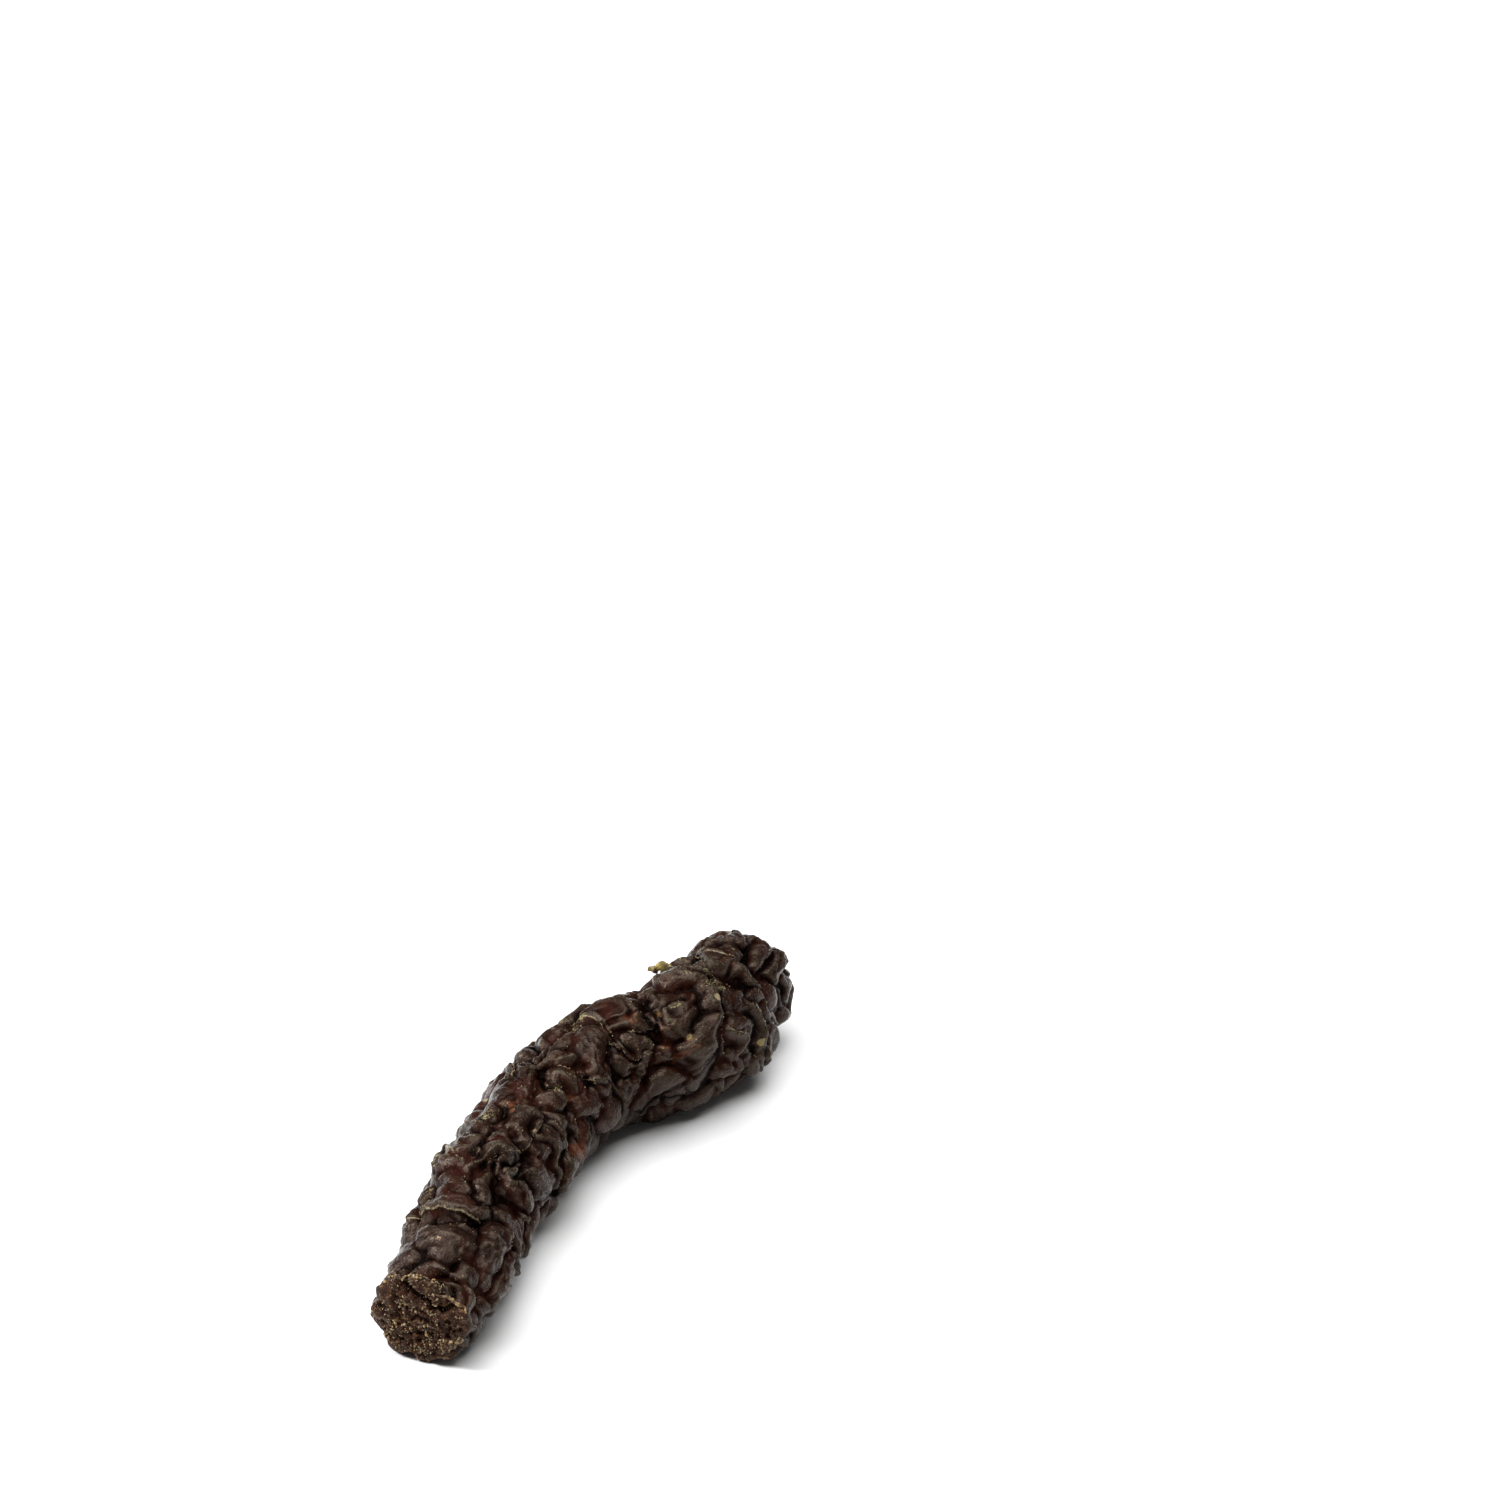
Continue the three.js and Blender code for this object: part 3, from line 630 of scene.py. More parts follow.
def closed_grid_mesh(name, place, fields, straight):
    """A mesh from a grid of points whose first and last rings are single points."""
    rings, points_round = place.shape[:2]
    keep = np.concatenate([[0], np.arange(points_round, (rings - 1) * points_round + 1)])
    index = np.zeros(rings * points_round, int)
    index[points_round:(rings - 1) * points_round] = 1 + np.arange((rings - 2) * points_round)
    index[(rings - 1) * points_round:] = 1 + (rings - 2) * points_round
    index = index.reshape(rings, points_round)
    after = np.roll(index, -1, 1)
    quads = np.stack([index[1:-2], index[2:-1], after[2:-1], after[1:-2]], -1).reshape(-1, 4)
    first = np.stack([index[0], index[1], after[1]], -1)
    last = np.stack([index[-2], index[-1], after[-2]], -1)
    mesh = bpy.data.meshes.new(name)
    points = place.reshape(-1, 3)[keep] * MM
    mesh.from_pydata(points.tolist(), [], quads.tolist() + first.tolist() + last.tolist())
    for field, values in fields.items():
        attribute = mesh.attributes.new(field, "FLOAT", "POINT")
        attribute.data.foreach_set("value", values.reshape(-1)[keep].astype(np.float32))
    attribute = mesh.attributes.new("straight", "FLOAT_VECTOR", "POINT")
    attribute.data.foreach_set("vector", straight.reshape(-1, 3)[keep].astype(np.float32).ravel())
    mesh.polygons.foreach_set("use_smooth", np.ones(len(mesh.polygons), bool))
    mesh.update()
    return mesh


lobes = make_lobes()
shift = solid_shift(lobes)
along, share, around = grid(FINE_RINGS, FINE_ROUND)
place, straight, fields = surface(along, share, around, lobes, fine=True)
place = place - shift
fields["close_standing"] = standing(place, CLOSE_BLUR)
fields["broad_standing"] = standing(place, BROAD_BLUR)
skin = bpy.data.objects.new("stick_skin", closed_grid_mesh("stick_skin", place, fields, straight))
bpy.context.scene.collection.objects.link(skin)


# Crumbs and flakes of dried fat

CRUMB_SEED = 17
LOWEST_CRUMB = 0.6
CRUMB_STRETCH, CRUMB_UNEVENNESS = (0.3, 1.7), (0.55, 1.3)

# On the cut face, in clusters: how many, smallest and largest, and how far out they reach
FACE_CRUMBS, FACE_CRUMB_SIZES = 1300, (0.05, 0.25)
FACE_REACH = 0.97
FACE_CLUSTERS, CLUSTER_LEVEL = (3.2, 91), -0.15

# On the rim behind it, mostly on top
RIM_CRUMBS, RIM_CRUMB_SIZES = 220, (0.09, 0.28)
RIM_FROM, RIM_TO = 0.9, 3.4
RIM_MIDDLE, RIM_SPREAD = 84, 17

# Along the edges of loose skin, and on the crests
EDGE_CRUMBS, EDGE_CRUMB_SIZES = 520, (0.05, 0.14)
EDGE_MIDDLE, EDGE_REACH = 0.25, 0.14
CREST_CRUMBS, CREST_CRUMB_SIZES = 2600, (0.04, 0.11)
CREST_STANDING, CREST_SHARE = 0.06, 0.3


def grid_step(degrees):
    """The fine grid's step round the stick that is nearest to a place round it."""
    return np.round(-degrees / 360 * FINE_ROUND).astype(int) % FINE_ROUND


def crumb_places(random):
    """Grid points under crumbs, and the crumbs' sizes in millimetres."""
    ring_share, ring_along = share[:, 0], along[:, 0]
    face_rings = np.flatnonzero((ring_along < CUT_ROUNDING) & (ring_share < FACE_REACH))
    rings, steps, sizes = [], [], []

    def take(chosen_rings, chosen_steps, span):
        smallest, largest = span
        rings.append(chosen_rings)
        steps.append(chosen_steps)
        sizes.append(smallest + (largest - smallest) * random.random(len(chosen_rings)) ** 2)

    spread = np.sqrt(random.random(FACE_CRUMBS)) * FACE_REACH
    face_ring = np.clip(np.searchsorted(ring_share[:len(face_rings)], spread), 1, len(face_rings) - 1)
    take(face_ring, random.integers(0, FINE_ROUND, FACE_CRUMBS), FACE_CRUMB_SIZES)

    rim_ring = np.searchsorted(ring_along, random.uniform(RIM_FROM, RIM_TO, RIM_CRUMBS))
    rim_place = random.normal(RIM_MIDDLE, RIM_SPREAD, RIM_CRUMBS)
    take(rim_ring, grid_step(rim_place), RIM_CRUMB_SIZES)

    near_edge = np.argwhere(np.abs(fields["edge"] - EDGE_MIDDLE) < EDGE_REACH)
    chosen = near_edge[random.integers(0, len(near_edge), EDGE_CRUMBS)]
    take(chosen[:, 0], chosen[:, 1], EDGE_CRUMB_SIZES)

    on_crest = (fields["close_standing"] > CREST_STANDING) & (share > CREST_SHARE)
    crests = np.argwhere(on_crest & (fields["face"] == 0))
    chosen = crests[random.integers(0, len(crests), CREST_CRUMBS)]
    take(chosen[:, 0], chosen[:, 1], CREST_CRUMB_SIZES)

    rings, steps, sizes = np.concatenate(rings), np.concatenate(steps), np.concatenate(sizes)
    in_cluster = waves(straight[rings, steps], *FACE_CLUSTERS) > CLUSTER_LEVEL
    keep = (place[rings, steps, 2] > LOWEST_CRUMB) & (in_cluster | (fields["face"][rings, steps] < 1))
    return rings[keep], steps[keep], sizes[keep]


def crumb_mesh(name):
    """Little uneven lumps, each half sunk into the skin, as one mesh."""
    random = np.random.default_rng(CRUMB_SEED)
    ring, step, size = crumb_places(random)
    count = len(ring)
    golden = (1 + math.sqrt(5)) / 2
    corners = np.array([(-1, golden, 0), (1, golden, 0), (-1, -golden, 0), (1, -golden, 0),
                        (0, -1, golden), (0, 1, golden), (0, -1, -golden), (0, 1, -golden),
                        (golden, 0, -1), (golden, 0, 1), (-golden, 0, -1), (-golden, 0, 1)])
    corners /= np.linalg.norm(corners[0])
    turned = np.linalg.qr(random.normal(size=(count, 3, 3)))[0]
    turned[np.linalg.det(turned) < 0] *= -1
    stretch = random.uniform(*CRUMB_STRETCH, (count, 1, 3))
    uneven = random.uniform(*CRUMB_UNEVENNESS, (count, len(corners), 1))
    lump = (corners * stretch * uneven) @ turned * size[:, None, None]
    points = (place[ring, step][:, None] + lump).reshape(-1, 3) * MM
    hull = [(0, 11, 5), (0, 5, 1), (0, 1, 7), (0, 7, 10), (0, 10, 11), (1, 5, 9), (5, 11, 4),
            (11, 10, 2), (10, 7, 6), (7, 1, 8), (3, 9, 4), (3, 4, 2), (3, 2, 6), (3, 6, 8),
            (3, 8, 9), (4, 9, 5), (2, 4, 11), (6, 2, 10), (8, 6, 7), (9, 8, 1)]
    faces = (np.arange(count)[:, None, None] * len(corners) + np.array(hull)).reshape(-1, 3)
    mesh = bpy.data.meshes.new(name)
    mesh.from_pydata(points.tolist(), [], faces.tolist())
    tint = mesh.attributes.new("tint", "FLOAT", "POINT")
    tint.data.foreach_set("value", np.repeat(random.random(count), len(corners)).astype(np.float32))
    mesh.polygons.foreach_set("use_smooth", np.ones(len(mesh.polygons), bool))
    return mesh


# A flake's steps along and round it, and its jagged sides, tapering ends, curl and tint
FLAKE_STEPS, FLAKE_ROUND = 60, 12
BROAD_JAG, CLOSE_JAG, LEAST_JAG = (0.55, 0.9), (0.35, 0.4), 0.2
FLAKE_TAPER = 0.3
FLAKE_CURL = (0.12, 0.7)
FLAKE_TINT = (0.5, 0.6, 1.0)
PATH_BLUR, LIFT_BLUR, FLAKE_NORMAL_BLUR = 1, 6, 4
SKIN_NORMAL_BLUR = 1
out_of_skin = outward(place, SKIN_NORMAL_BLUR)


def blurred_line(values, steps):
    """The points of a line, each averaged with its neighbours a number of times."""
    return blurred(values[:, None], steps)[:, 0]


def flake_mesh(name, path, half_widths, lifts, thickness, facing, seed):
    """A thin torn flake along its stations, lifted off the skin and with its flat side to facing."""
    t = np.linspace(0, 1, FLAKE_STEPS)
    stations = np.array(path, float)
    flake_along, flake_share, flake_round = (smooth(stations[:, k], t) for k in range(3))
    side = np.searchsorted(along[:, 0], flake_along)
    ring = np.where(flake_share < 1, np.searchsorted(share[:side.max() + 2, 0], flake_share), side)
    step = grid_step(flake_round)
    normal = blurred_line(out_of_skin[ring, step], FLAKE_NORMAL_BLUR)
    base = blurred_line(place[ring, step], PATH_BLUR)
    base = blurred_line(base + normal * smooth(lifts, t)[:, None], LIFT_BLUR)
    forward = unit(np.gradient(base, axis=0))
    beside = unit(np.cross(forward, facing))
    upward = np.cross(beside, forward)
    jag = 1 + BROAD_JAG[0] * waves(base, BROAD_JAG[1], seed)
    jag = jag + CLOSE_JAG[0] * waves(base, CLOSE_JAG[1], seed + 1)
    half_width = smooth(half_widths, t) * np.maximum(jag, LEAST_JAG)
    section = np.linspace(0, 2 * math.pi, FLAKE_ROUND, endpoint=False)
    taper = np.sin(math.pi * t)[:, None] ** FLAKE_TAPER
    wide = np.cos(section) * half_width[:, None] * taper
    tall = np.sin(section) * thickness * taper
    curl = FLAKE_CURL[0] * waves(base[:, None] + wide[..., None], FLAKE_CURL[1], seed + 2)
    tall = tall + curl * (wide > 0)
    rings = base[:, None] + wide[..., None] * beside[:, None] + tall[..., None] * upward[:, None]
    rings[0], rings[-1] = rings[0].mean(0), rings[-1].mean(0)
    tint = {"tint": FLAKE_TINT[0] + FLAKE_TINT[1] * waves(rings, FLAKE_TINT[2], seed + 3)}
    return closed_grid_mesh(name, rings, tint, rings)


# Materials

class Nodes:
    """Short ways to add and join the nodes of one material."""

    def __init__(self, name):
        self.material = bpy.data.materials.new(name)
        self.material.use_nodes = True
        self.tree = self.material.node_tree
        self.shader = self.tree.nodes["Principled BSDF"]

    def add(self, kind, **settings):
        node = self.tree.nodes.new(kind)
        for key, value in settings.items():
            setattr(node, key, value)
        return node

    def put(self, socket, value):
        if isinstance(value, bpy.types.NodeSocket):
            self.tree.links.new(value, socket)
        else:
            socket.default_value = value

    def field(self, name):
        return self.add("ShaderNodeAttribute", attribute_name=name).outputs["Fac"]

    def vector_field(self, name):
        return self.add("ShaderNodeAttribute", attribute_name=name).outputs["Vector"]

    def math(self, operation, a, b=0.0, c=0.0, clamp=False):
        node = self.add("ShaderNodeMath", operation=operation, use_clamp=clamp)
        for socket, value in zip(node.inputs, (a, b, c)):
            self.put(socket, value)
        return node.outputs[0]

    def times(self, a, b):
        return self.math("MULTIPLY", a, b)

    def ramp(self, value, low, high, start=0.0, end=1.0):
        node = self.add("ShaderNodeMapRange", interpolation_type="SMOOTHSTEP")
        for socket, v in zip(node.inputs, (value, low, high, start, end)):
            self.put(socket, v)
        return node.outputs[0]

    def mix(self, share, a, b, blend="MIX"):
        node = self.add("ShaderNodeMix", data_type="RGBA", blend_type=blend)
        self.put(node.inputs["Factor"], share)
        self.put(node.inputs[6], a)
        self.put(node.inputs[7], b)
        return node.outputs[2]

    def scaled(self, vector, scale):
        node = self.add("ShaderNodeVectorMath", operation="MULTIPLY")
        self.put(node.inputs[0], vector)
        self.put(node.inputs[1], scale)
        return node.outputs[0]

    def noise(self, vector, scale, detail=3.0, roughness=0.55, distortion=0.0):
        node = self.add("ShaderNodeTexNoise", noise_dimensions="3D")
        self.put(node.inputs["Vector"], vector)
        node.inputs["Scale"].default_value = scale
        node.inputs["Detail"].default_value = detail
        node.inputs["Roughness"].default_value = roughness
        node.inputs["Distortion"].default_value = distortion
        return node.outputs["Fac"]

    def bump(self, height, strength, distance, normal=None):
        node = self.add("ShaderNodeBump")
        node.inputs["Strength"].default_value = strength
        node.inputs["Distance"].default_value = distance
        self.put(node.inputs["Height"], height)
        if normal is not None:
            self.put(node.inputs["Normal"], normal)
        return node.outputs["Normal"]


# Painted shade: the first is the near black of creases and pits, the second the maroon between them and
# the crests
PAINTED_SHADE_BLACK = (0.0010, 0.0004, 0.0003, 1)
SHADE_MAROON = (0.0070, 0.0021, 0.0012, 1)
MEAT_BROWN = (0.0130, 0.0052, 0.0030, 1)
# Pale dust on the crests, which also stands in for painted sheen
DUST_SHEEN_BROWN = (0.037, 0.0245, 0.0162, 1)
DUST_SHEEN_GREEN = (0.032, 0.0285, 0.0165, 1)
DRY_RED = (0.030, 0.0075, 0.0045, 1)
AMBER = (0.13, 0.040, 0.016, 1)
CREAM = (0.36, 0.30, 0.18, 1)
GREEN_CREAM = (0.26, 0.25, 0.10, 1)
GOLD = (0.30, 0.19, 0.075, 1)
YELLOW = (0.38, 0.28, 0.07, 1)
OLIVE = (0.19, 0.145, 0.035, 1)
TORN_DARK = (0.0085, 0.0028, 0.0016, 1)
TORN_BROWN = (0.036, 0.0135, 0.0076, 1)
WARM_SHEEN = (1.0, 0.80, 0.64, 1)


# Noise over the stick: scale, detail, roughness and distortion
BROAD_NOISE = (0.16, 4.0, 0.6)
MIDDLE_NOISE = (0.45, 4.0, 0.6)
CLOSE_NOISE = (0.9, 5.0, 0.65)
TINY_NOISE = (3.2, 4.0, 0.6)
GRAIN_NOISE = (2.4, 6.0, 0.8)
SHRED_NOISE = (1.25, 6.0, 0.75, 0.8)
PUCKER_NOISE = (1.0, 3.0, 0.5, 0.8)
FIBRE_NOISE, FIBRE_SQUEEZE = (1.6, 5.0, 0.6, 0.6), (0.5, 2.2, 2.2)
FAT_NOISE = (2500.0, 4.0, 0.6)

# The height that colour, painted crease shade and shine follow: shares of the broad and close relief and
# of noise
BROAD_SHARE, CLOSE_SHARE = 0.45, 1.8
NOISE_SHARE, NOISE_LEVEL = 0.3, -0.15

# From where to where each colour comes in, on that height or on noise, and how much of it at most
# The first two spans paint shade, darkest in the creases
SHADE_TO_MAROON_SPAN, SHADE_TO_MEAT_SPAN = (-0.45, 0.05), (-0.05, 0.42)
# The dust on the crests is partly painted sheen
DUST_SHEEN_ON_HEIGHT, DUST_SHEEN_ON_GRAIN = (0.15, 0.8), (0.36, 0.62)
DUST_SHEEN_ON_BROAD, BROWN_DUST_SHEEN = (0.3, 0.6, 0.35, 1.0), (0.42, 0.6)
RED_ON_BROAD, RED_ON_HEIGHT, RED_MOST = (0.46, 0.62), (0.7, 0.1), 0.5
AMBER_SPOT, AMBER_ON_CLOSE, AMBER_MOST = (0.0, 0.7), (0.3, 0.6), 0.5

# Thin dry edges: both sides of the line past a skin edge, where it is whole, and how much of it
LINE_START, LINE_STOP = (0.15, 0.21), (0.33, 0.26)
LINE_RISE_SHARE, LINE_WHOLE = 0.16, (0.58, 0.68)
LINE_ON_GRAIN, LINE_MOST = (0.40, 0.54), 0.55

# Flecks of dried fat: what spots and crests add to the grain, and from where to where it shows
FLECK_SPOT_SHARE = 0.16
FLECK_CREST, FLECK_CREST_SHARE = (0.0, 0.25), 0.025
FLECK_SPAN, GREEN_FLECK, FLECK_MOST = (0.665, 0.70), (0.4, 0.6), 0.55

# The cut face, in the same way
TORN_SPAN = (0.40, 0.56)
GOLD_SPAN, GOLD_MOST = (0.56, 0.64), 0.45
FACE_CREAM_SPAN, FACE_CREAM_MOST = (0.58, 0.66), 0.7
# Painted shade in the face's pits, on how far they sink
PIT_SHADE_SPAN = (0.05, -0.12, 0.0, 0.85)

# Roughness: a share of the middle noise, a start, and what dust and the cut face add
ROUGH_SHARE, ROUGH_START = 0.42, -0.02
DUST_ROUGH, FACE_ROUGH = 0.12, 0.3

# Shine on the height, how much less of it on the cut face, and the bumps' strengths and depths
SHINE_ON_HEIGHT, FACE_SHINE_LOSS = (-0.3, 0.45, 0.02, 0.24), -0.6
PUCKER_BUMP, FIBRE_BUMP, TINY_BUMP = (0.55, 0.0005), (0.3, 0.0004), (0.2, 0.0002)

# Loose fat: from brown to plain and on to pale, its dark specks, shine and bump
PLAIN_SPAN, PALE_SPAN = (0.2, 0.65), (0.6, 1.0)
SPECK_SPAN = (0.55, 0.4, 0.0, 0.6)
FAT_ROUGHNESS, FAT_SPECULAR, FAT_BUMP = 0.5, 0.35, (0.6, 0.0001)


def skin_material():
    """Dark waxy dried meat: painted shade near black in the creases, browner and duller on the crests,
    where pale dust is partly painted sheen.
    """
    n = Nodes("dried_beef_skin")
    straight = n.vector_field("straight")
    close_standing, broad_standing = n.field("close_standing"), n.field("broad_standing")
    edge, face = n.field("edge"), n.field("face")

    broad = n.noise(straight, *BROAD_NOISE)
    middle = n.noise(straight, *MIDDLE_NOISE)
    close = n.noise(straight, *CLOSE_NOISE)
    tiny = n.noise(straight, *TINY_NOISE)
    grain = n.noise(straight, *GRAIN_NOISE)
    fibres = n.noise(n.scaled(straight, FIBRE_SQUEEZE), *FIBRE_NOISE)

    # painted shade: near black in the creases, through maroon, up to meat brown on the crests
    height = n.math("MULTIPLY_ADD", broad_standing, BROAD_SHARE, n.times(close_standing, CLOSE_SHARE))
    height = n.math("ADD", height, n.math("MULTIPLY_ADD", close, NOISE_SHARE, NOISE_LEVEL))
    colour = n.mix(n.ramp(height, *SHADE_TO_MAROON_SPAN), PAINTED_SHADE_BLACK, SHADE_MAROON)
    colour = n.mix(n.ramp(height, *SHADE_TO_MEAT_SPAN), colour, MEAT_BROWN)
    # pale dust on the crests, partly painted sheen
    dust_and_sheen = n.times(n.ramp(height, *DUST_SHEEN_ON_HEIGHT), n.ramp(grain, *DUST_SHEEN_ON_GRAIN))
    dust_and_sheen = n.times(dust_and_sheen, n.ramp(broad, *DUST_SHEEN_ON_BROAD))
    colour = n.mix(dust_and_sheen, colour, n.mix(n.ramp(middle, *BROWN_DUST_SHEEN), DUST_SHEEN_GREEN, DUST_SHEEN_BROWN))
    red = n.times(n.ramp(broad, *RED_ON_BROAD), n.ramp(height, *RED_ON_HEIGHT))
    colour = n.mix(n.times(red, RED_MOST), colour, DRY_RED)
    amber = n.times(n.ramp(n.field("orange"), *AMBER_SPOT), n.ramp(close, *AMBER_ON_CLOSE))
    colour = n.mix(n.times(amber, AMBER_MOST), colour, AMBER)

    # thin dry edges of loose skin
    line = n.times(n.ramp(edge, *LINE_START), n.ramp(edge, *LINE_STOP))
    whole = n.math("MULTIPLY_ADD", n.field("edge_rise"), LINE_RISE_SHARE, close)
    line = n.times(line, n.ramp(whole, *LINE_WHOLE))
    line = n.times(line, n.ramp(grain, *LINE_ON_GRAIN))
    colour = n.mix(n.times(line, LINE_MOST), colour, CREAM)

    # dried fat in flecks: more of it in some places, and on the crests
    fleck = n.times(n.math("MAXIMUM", n.field("fleck"), 0.0), FLECK_SPOT_SHARE)
    level = n.math("ADD", grain, fleck)
    level = n.math("ADD", level, n.times(n.ramp(close_standing, *FLECK_CREST), FLECK_CREST_SHARE))
    flecks = n.ramp(level, *FLECK_SPAN)
    fleck_colour = n.mix(n.ramp(middle, *GREEN_FLECK), CREAM, GREEN_CREAM)
    colour = n.mix(n.times(flecks, FLECK_MOST), colour, fleck_colour)

    # the cut face's torn grain, painted shade in its pits, and paler fat between them
    shreds = n.noise(straight, *SHRED_NOISE)
    torn = n.mix(n.ramp(shreds, *TORN_SPAN), TORN_DARK, TORN_BROWN)
    torn = n.mix(n.times(n.ramp(shreds, *GOLD_SPAN), GOLD_MOST), torn, GOLD)
    torn = n.mix(n.times(n.ramp(grain, *FACE_CREAM_SPAN), FACE_CREAM_MOST), torn, CREAM)
    torn = n.mix(n.ramp(close_standing, *PIT_SHADE_SPAN), torn, PAINTED_SHADE_BLACK)
    colour = n.mix(face, colour, torn)

    n.put(n.shader.inputs["Base Color"], colour)
    rough = n.math("MULTIPLY_ADD", middle, ROUGH_SHARE, ROUGH_START)
    rough = n.math("ADD", rough, n.times(n.math("MAXIMUM", dust_and_sheen, flecks), DUST_ROUGH))
    rough = n.math("ADD", rough, n.times(face, FACE_ROUGH), clamp=True)
    n.put(n.shader.inputs["Roughness"], rough)
    off_face = n.math("MULTIPLY_ADD", face, FACE_SHINE_LOSS, 1.0)
    n.put(n.shader.inputs["Specular IOR Level"], n.times(n.ramp(height, *SHINE_ON_HEIGHT), off_face))
    n.shader.inputs["Specular Tint"].default_value = WARM_SHEEN

    pucker_bump = n.bump(n.noise(straight, *PUCKER_NOISE), *PUCKER_BUMP)
    fibre_bump = n.bump(fibres, *FIBRE_BUMP, pucker_bump)
    n.put(n.shader.inputs["Normal"], n.bump(tiny, *TINY_BUMP, fibre_bump))
    return n.material


def fat_material(name, plain, pale):
    """Dried fat and membrane, from brown to a plain colour and on to a paler one."""
    n = Nodes(name)
    tint = n.field("tint")
    where = n.add("ShaderNodeTexCoord").outputs["Object"]
    fine = n.noise(where, *FAT_NOISE)
    colour = n.mix(n.ramp(tint, *PLAIN_SPAN), TORN_BROWN, plain)
    colour = n.mix(n.ramp(tint, *PALE_SPAN), colour, pale)
    colour = n.mix(n.ramp(fine, *SPECK_SPAN), colour, TORN_BROWN)
    n.put(n.shader.inputs["Base Color"], colour)
    n.shader.inputs["Roughness"].default_value = FAT_ROUGHNESS
    n.shader.inputs["Specular IOR Level"].default_value = FAT_SPECULAR
    n.put(n.shader.inputs["Normal"], n.bump(fine, *FAT_BUMP))
    return n.material


def add_piece(mesh, material):
    """A piece of dried fat that is fast to the stick."""
    piece = bpy.data.objects.new(mesh.name, mesh)
    bpy.context.scene.collection.objects.link(piece)
    mesh.materials.append(material)
    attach(piece, "root")


skin.data.materials.append(skin_material())
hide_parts("beef_stick")
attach(skin, "root")

fat = fat_material("dried_fat", GOLD, CREAM)
yellow_fat = fat_material("yellow_fat", OLIVE, YELLOW)
add_piece(crumb_mesh("fat_crumbs"), fat)

# Flakes: stations (along, share of the section, place round), half widths, lifts, thickness, facing, seed
FLAKES = [
    ("rim_flake_right", [(1.2, 1, 112), (1.4, 1, 124), (1.4, 1, 137), (1.1, 1, 150)],
     [0.15, 0.35, 0.3, 0.15], [-0.05, 0.2, 0.2, -0.1], 0.09, (-1, 0, 0.5), 71),
    ("rim_flake_low", [(1.0, 0.98, 184), (1.0, 0.95, 194), (1.0, 0.93, 204), (1.0, 0.96, 216)],
     [0.2, 0.5, 0.45, 0.2], [0.1, 0.15, 0.15, 0.05], 0.12, (-1, 0, 0), 75),
    ("head_flake", [(100.4, 1, 50), (100.7, 1, 44), (101.0, 1, 38), (101.2, 1, 33)],
     [0.8, 0.85, 0.8, 0.7], [-0.6, 0.6, 1.6, 2.4], 0.28, (-1, -0.4, 0.4), 79),
]
for name, *sizes in FLAKES:
    add_piece(flake_mesh(name, *sizes), yellow_fat if name == "head_flake" else fat)


# Floor, light and camera

FLOOR_HALF = 1.5
FLOOR_WHITE = (0.8, 0.8, 0.8, 1)
FLOOR_ROUGHNESS = 0.8

# Square lamps of a studio: name, place, size and watts
LAMPS = [
    ("key_light", (-0.40, 0.66, 0.68), 0.26, 17),
    ("top_light", (0.1, -0.05, 1.0), 1.0, 18),
]
LAMP_AIM = Vector((0.0, 0.0, 0.01))

# The room is pale where the camera sees it and dimmer in what it lights
ROOM_SEEN = (1, 1, 1, 1)
ROOM_LIGHT = (0.1, 0.1, 0.1, 1)


def white_floor():
    """A wide square of matt white that the stick lies on."""
    h = FLOOR_HALF
    mesh = bpy.data.meshes.new("floor")
    mesh.from_pydata([(-h, -h, 0), (h, -h, 0), (h, h, 0), (-h, h, 0)], [], [(0, 1, 2, 3)])
    n = Nodes("floor_white")
    n.shader.inputs["Base Color"].default_value = FLOOR_WHITE
    n.shader.inputs["Roughness"].default_value = FLOOR_ROUGHNESS
    mesh.materials.append(n.material)
    floor = bpy.data.objects.new("floor", mesh)
    bpy.context.scene.collection.objects.link(floor)


def softbox(name, place, size, watts):
    """A square lamp, turned to the stick."""
    light = bpy.data.lights.new(name, "AREA")
    light.energy = watts
    light.size = size
    lamp = bpy.data.objects.new(name, light)
    lamp.location = place
    lamp.rotation_euler = (LAMP_AIM - Vector(place)).to_track_quat("-Z", "Y").to_euler()
    bpy.context.scene.collection.objects.link(lamp)


white_floor()
for name, *sizes in LAMPS:
    softbox(name, *sizes)

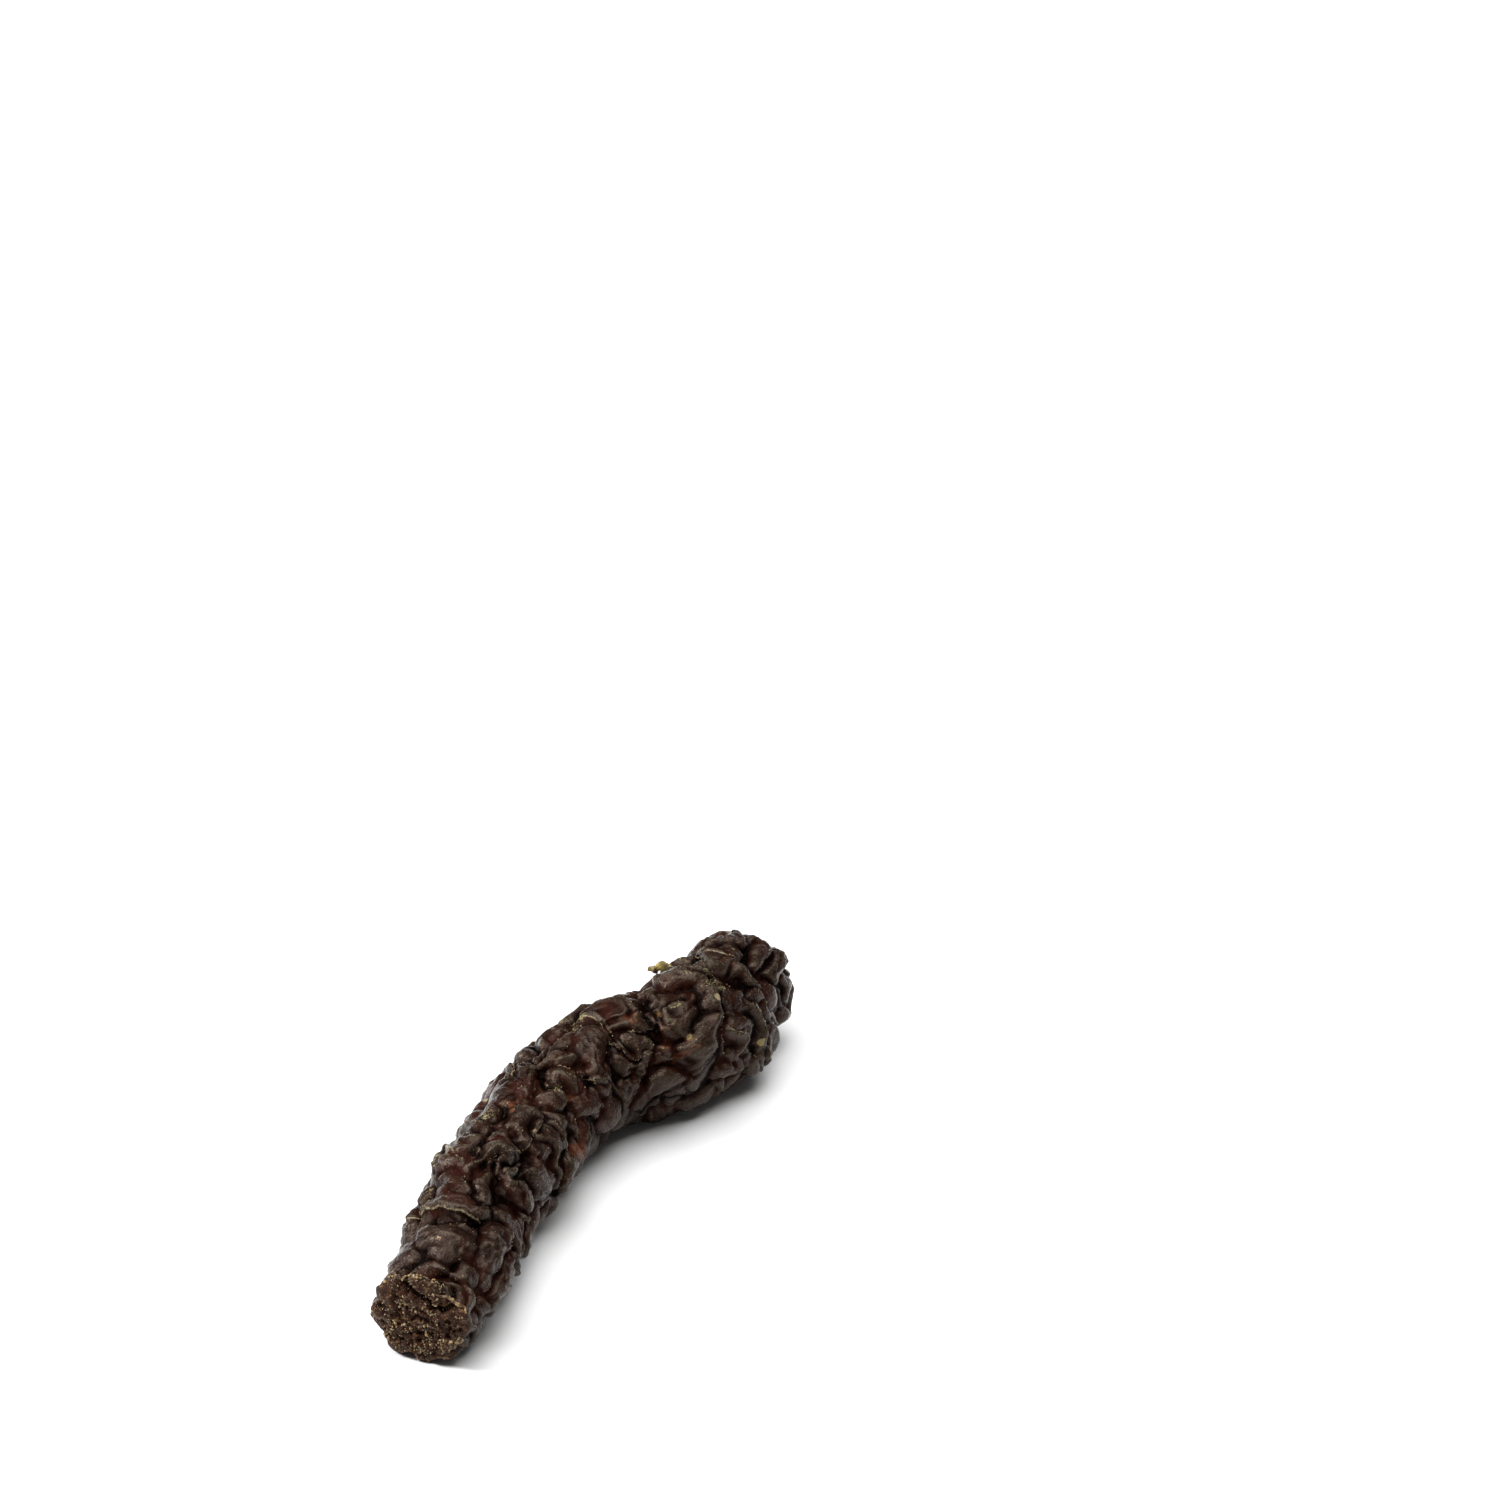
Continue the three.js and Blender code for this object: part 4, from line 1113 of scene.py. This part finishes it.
world = bpy.data.worlds.new("studio")
world.use_nodes = True
tree = world.node_tree
seen = tree.nodes["Background"]
seen.inputs["Color"].default_value = ROOM_SEEN
dim = tree.nodes.new("ShaderNodeBackground")
dim.inputs["Color"].default_value = ROOM_LIGHT
either = tree.nodes.new("ShaderNodeMixShader")
tree.links.new(tree.nodes.new("ShaderNodeLightPath").outputs["Is Camera Ray"], either.inputs["Fac"])
tree.links.new(dim.outputs[0], either.inputs[1])
tree.links.new(seen.outputs[0], either.inputs[2])
tree.links.new(either.outputs[0], tree.nodes["World Output"].inputs["Surface"])
bpy.context.scene.world = world
bpy.context.scene.view_settings.view_transform = "Standard"

# The camera sees the stick's point below at this pixel of the photograph's frame
PHOTO_SIZE = 1500
AIM_PIXEL = (585, 1145)
AIM_POINT = Vector((-0.0049, -0.0051, 0.0105))
VIEW_TURN = math.radians(-62.0)
VIEW_TILT = math.radians(28.5)
VIEW_DISTANCE = 0.9
PIXELS_PER_MM = 5.9
SENSOR_MM = 36


def photo_camera():
    """The camera at the photograph's angle, with the stick at its place in the frame."""
    back = Vector((math.sin(VIEW_TURN) * math.cos(VIEW_TILT),
                   -math.cos(VIEW_TURN) * math.cos(VIEW_TILT),
                   math.sin(VIEW_TILT)))
    right = Vector((math.cos(VIEW_TURN), math.sin(VIEW_TURN), 0))
    up = back.cross(right)
    focal_pixels = VIEW_DISTANCE / MM * PIXELS_PER_MM
    offset_right = (AIM_PIXEL[0] - PHOTO_SIZE / 2) / focal_pixels
    offset_up = (PHOTO_SIZE / 2 - AIM_PIXEL[1]) / focal_pixels
    place = AIM_POINT - VIEW_DISTANCE * (right * offset_right + up * offset_up - back)
    data = bpy.data.cameras.new("photo_camera")
    data.sensor_width = SENSOR_MM
    data.lens = SENSOR_MM * focal_pixels / PHOTO_SIZE
    camera = bpy.data.objects.new("photo_camera", data)
    axes = Matrix((right, up, back)).transposed().to_4x4()
    camera.matrix_world = Matrix.Translation(place) @ axes
    bpy.context.scene.collection.objects.link(camera)
    return camera


bpy.context.scene.camera = photo_camera()
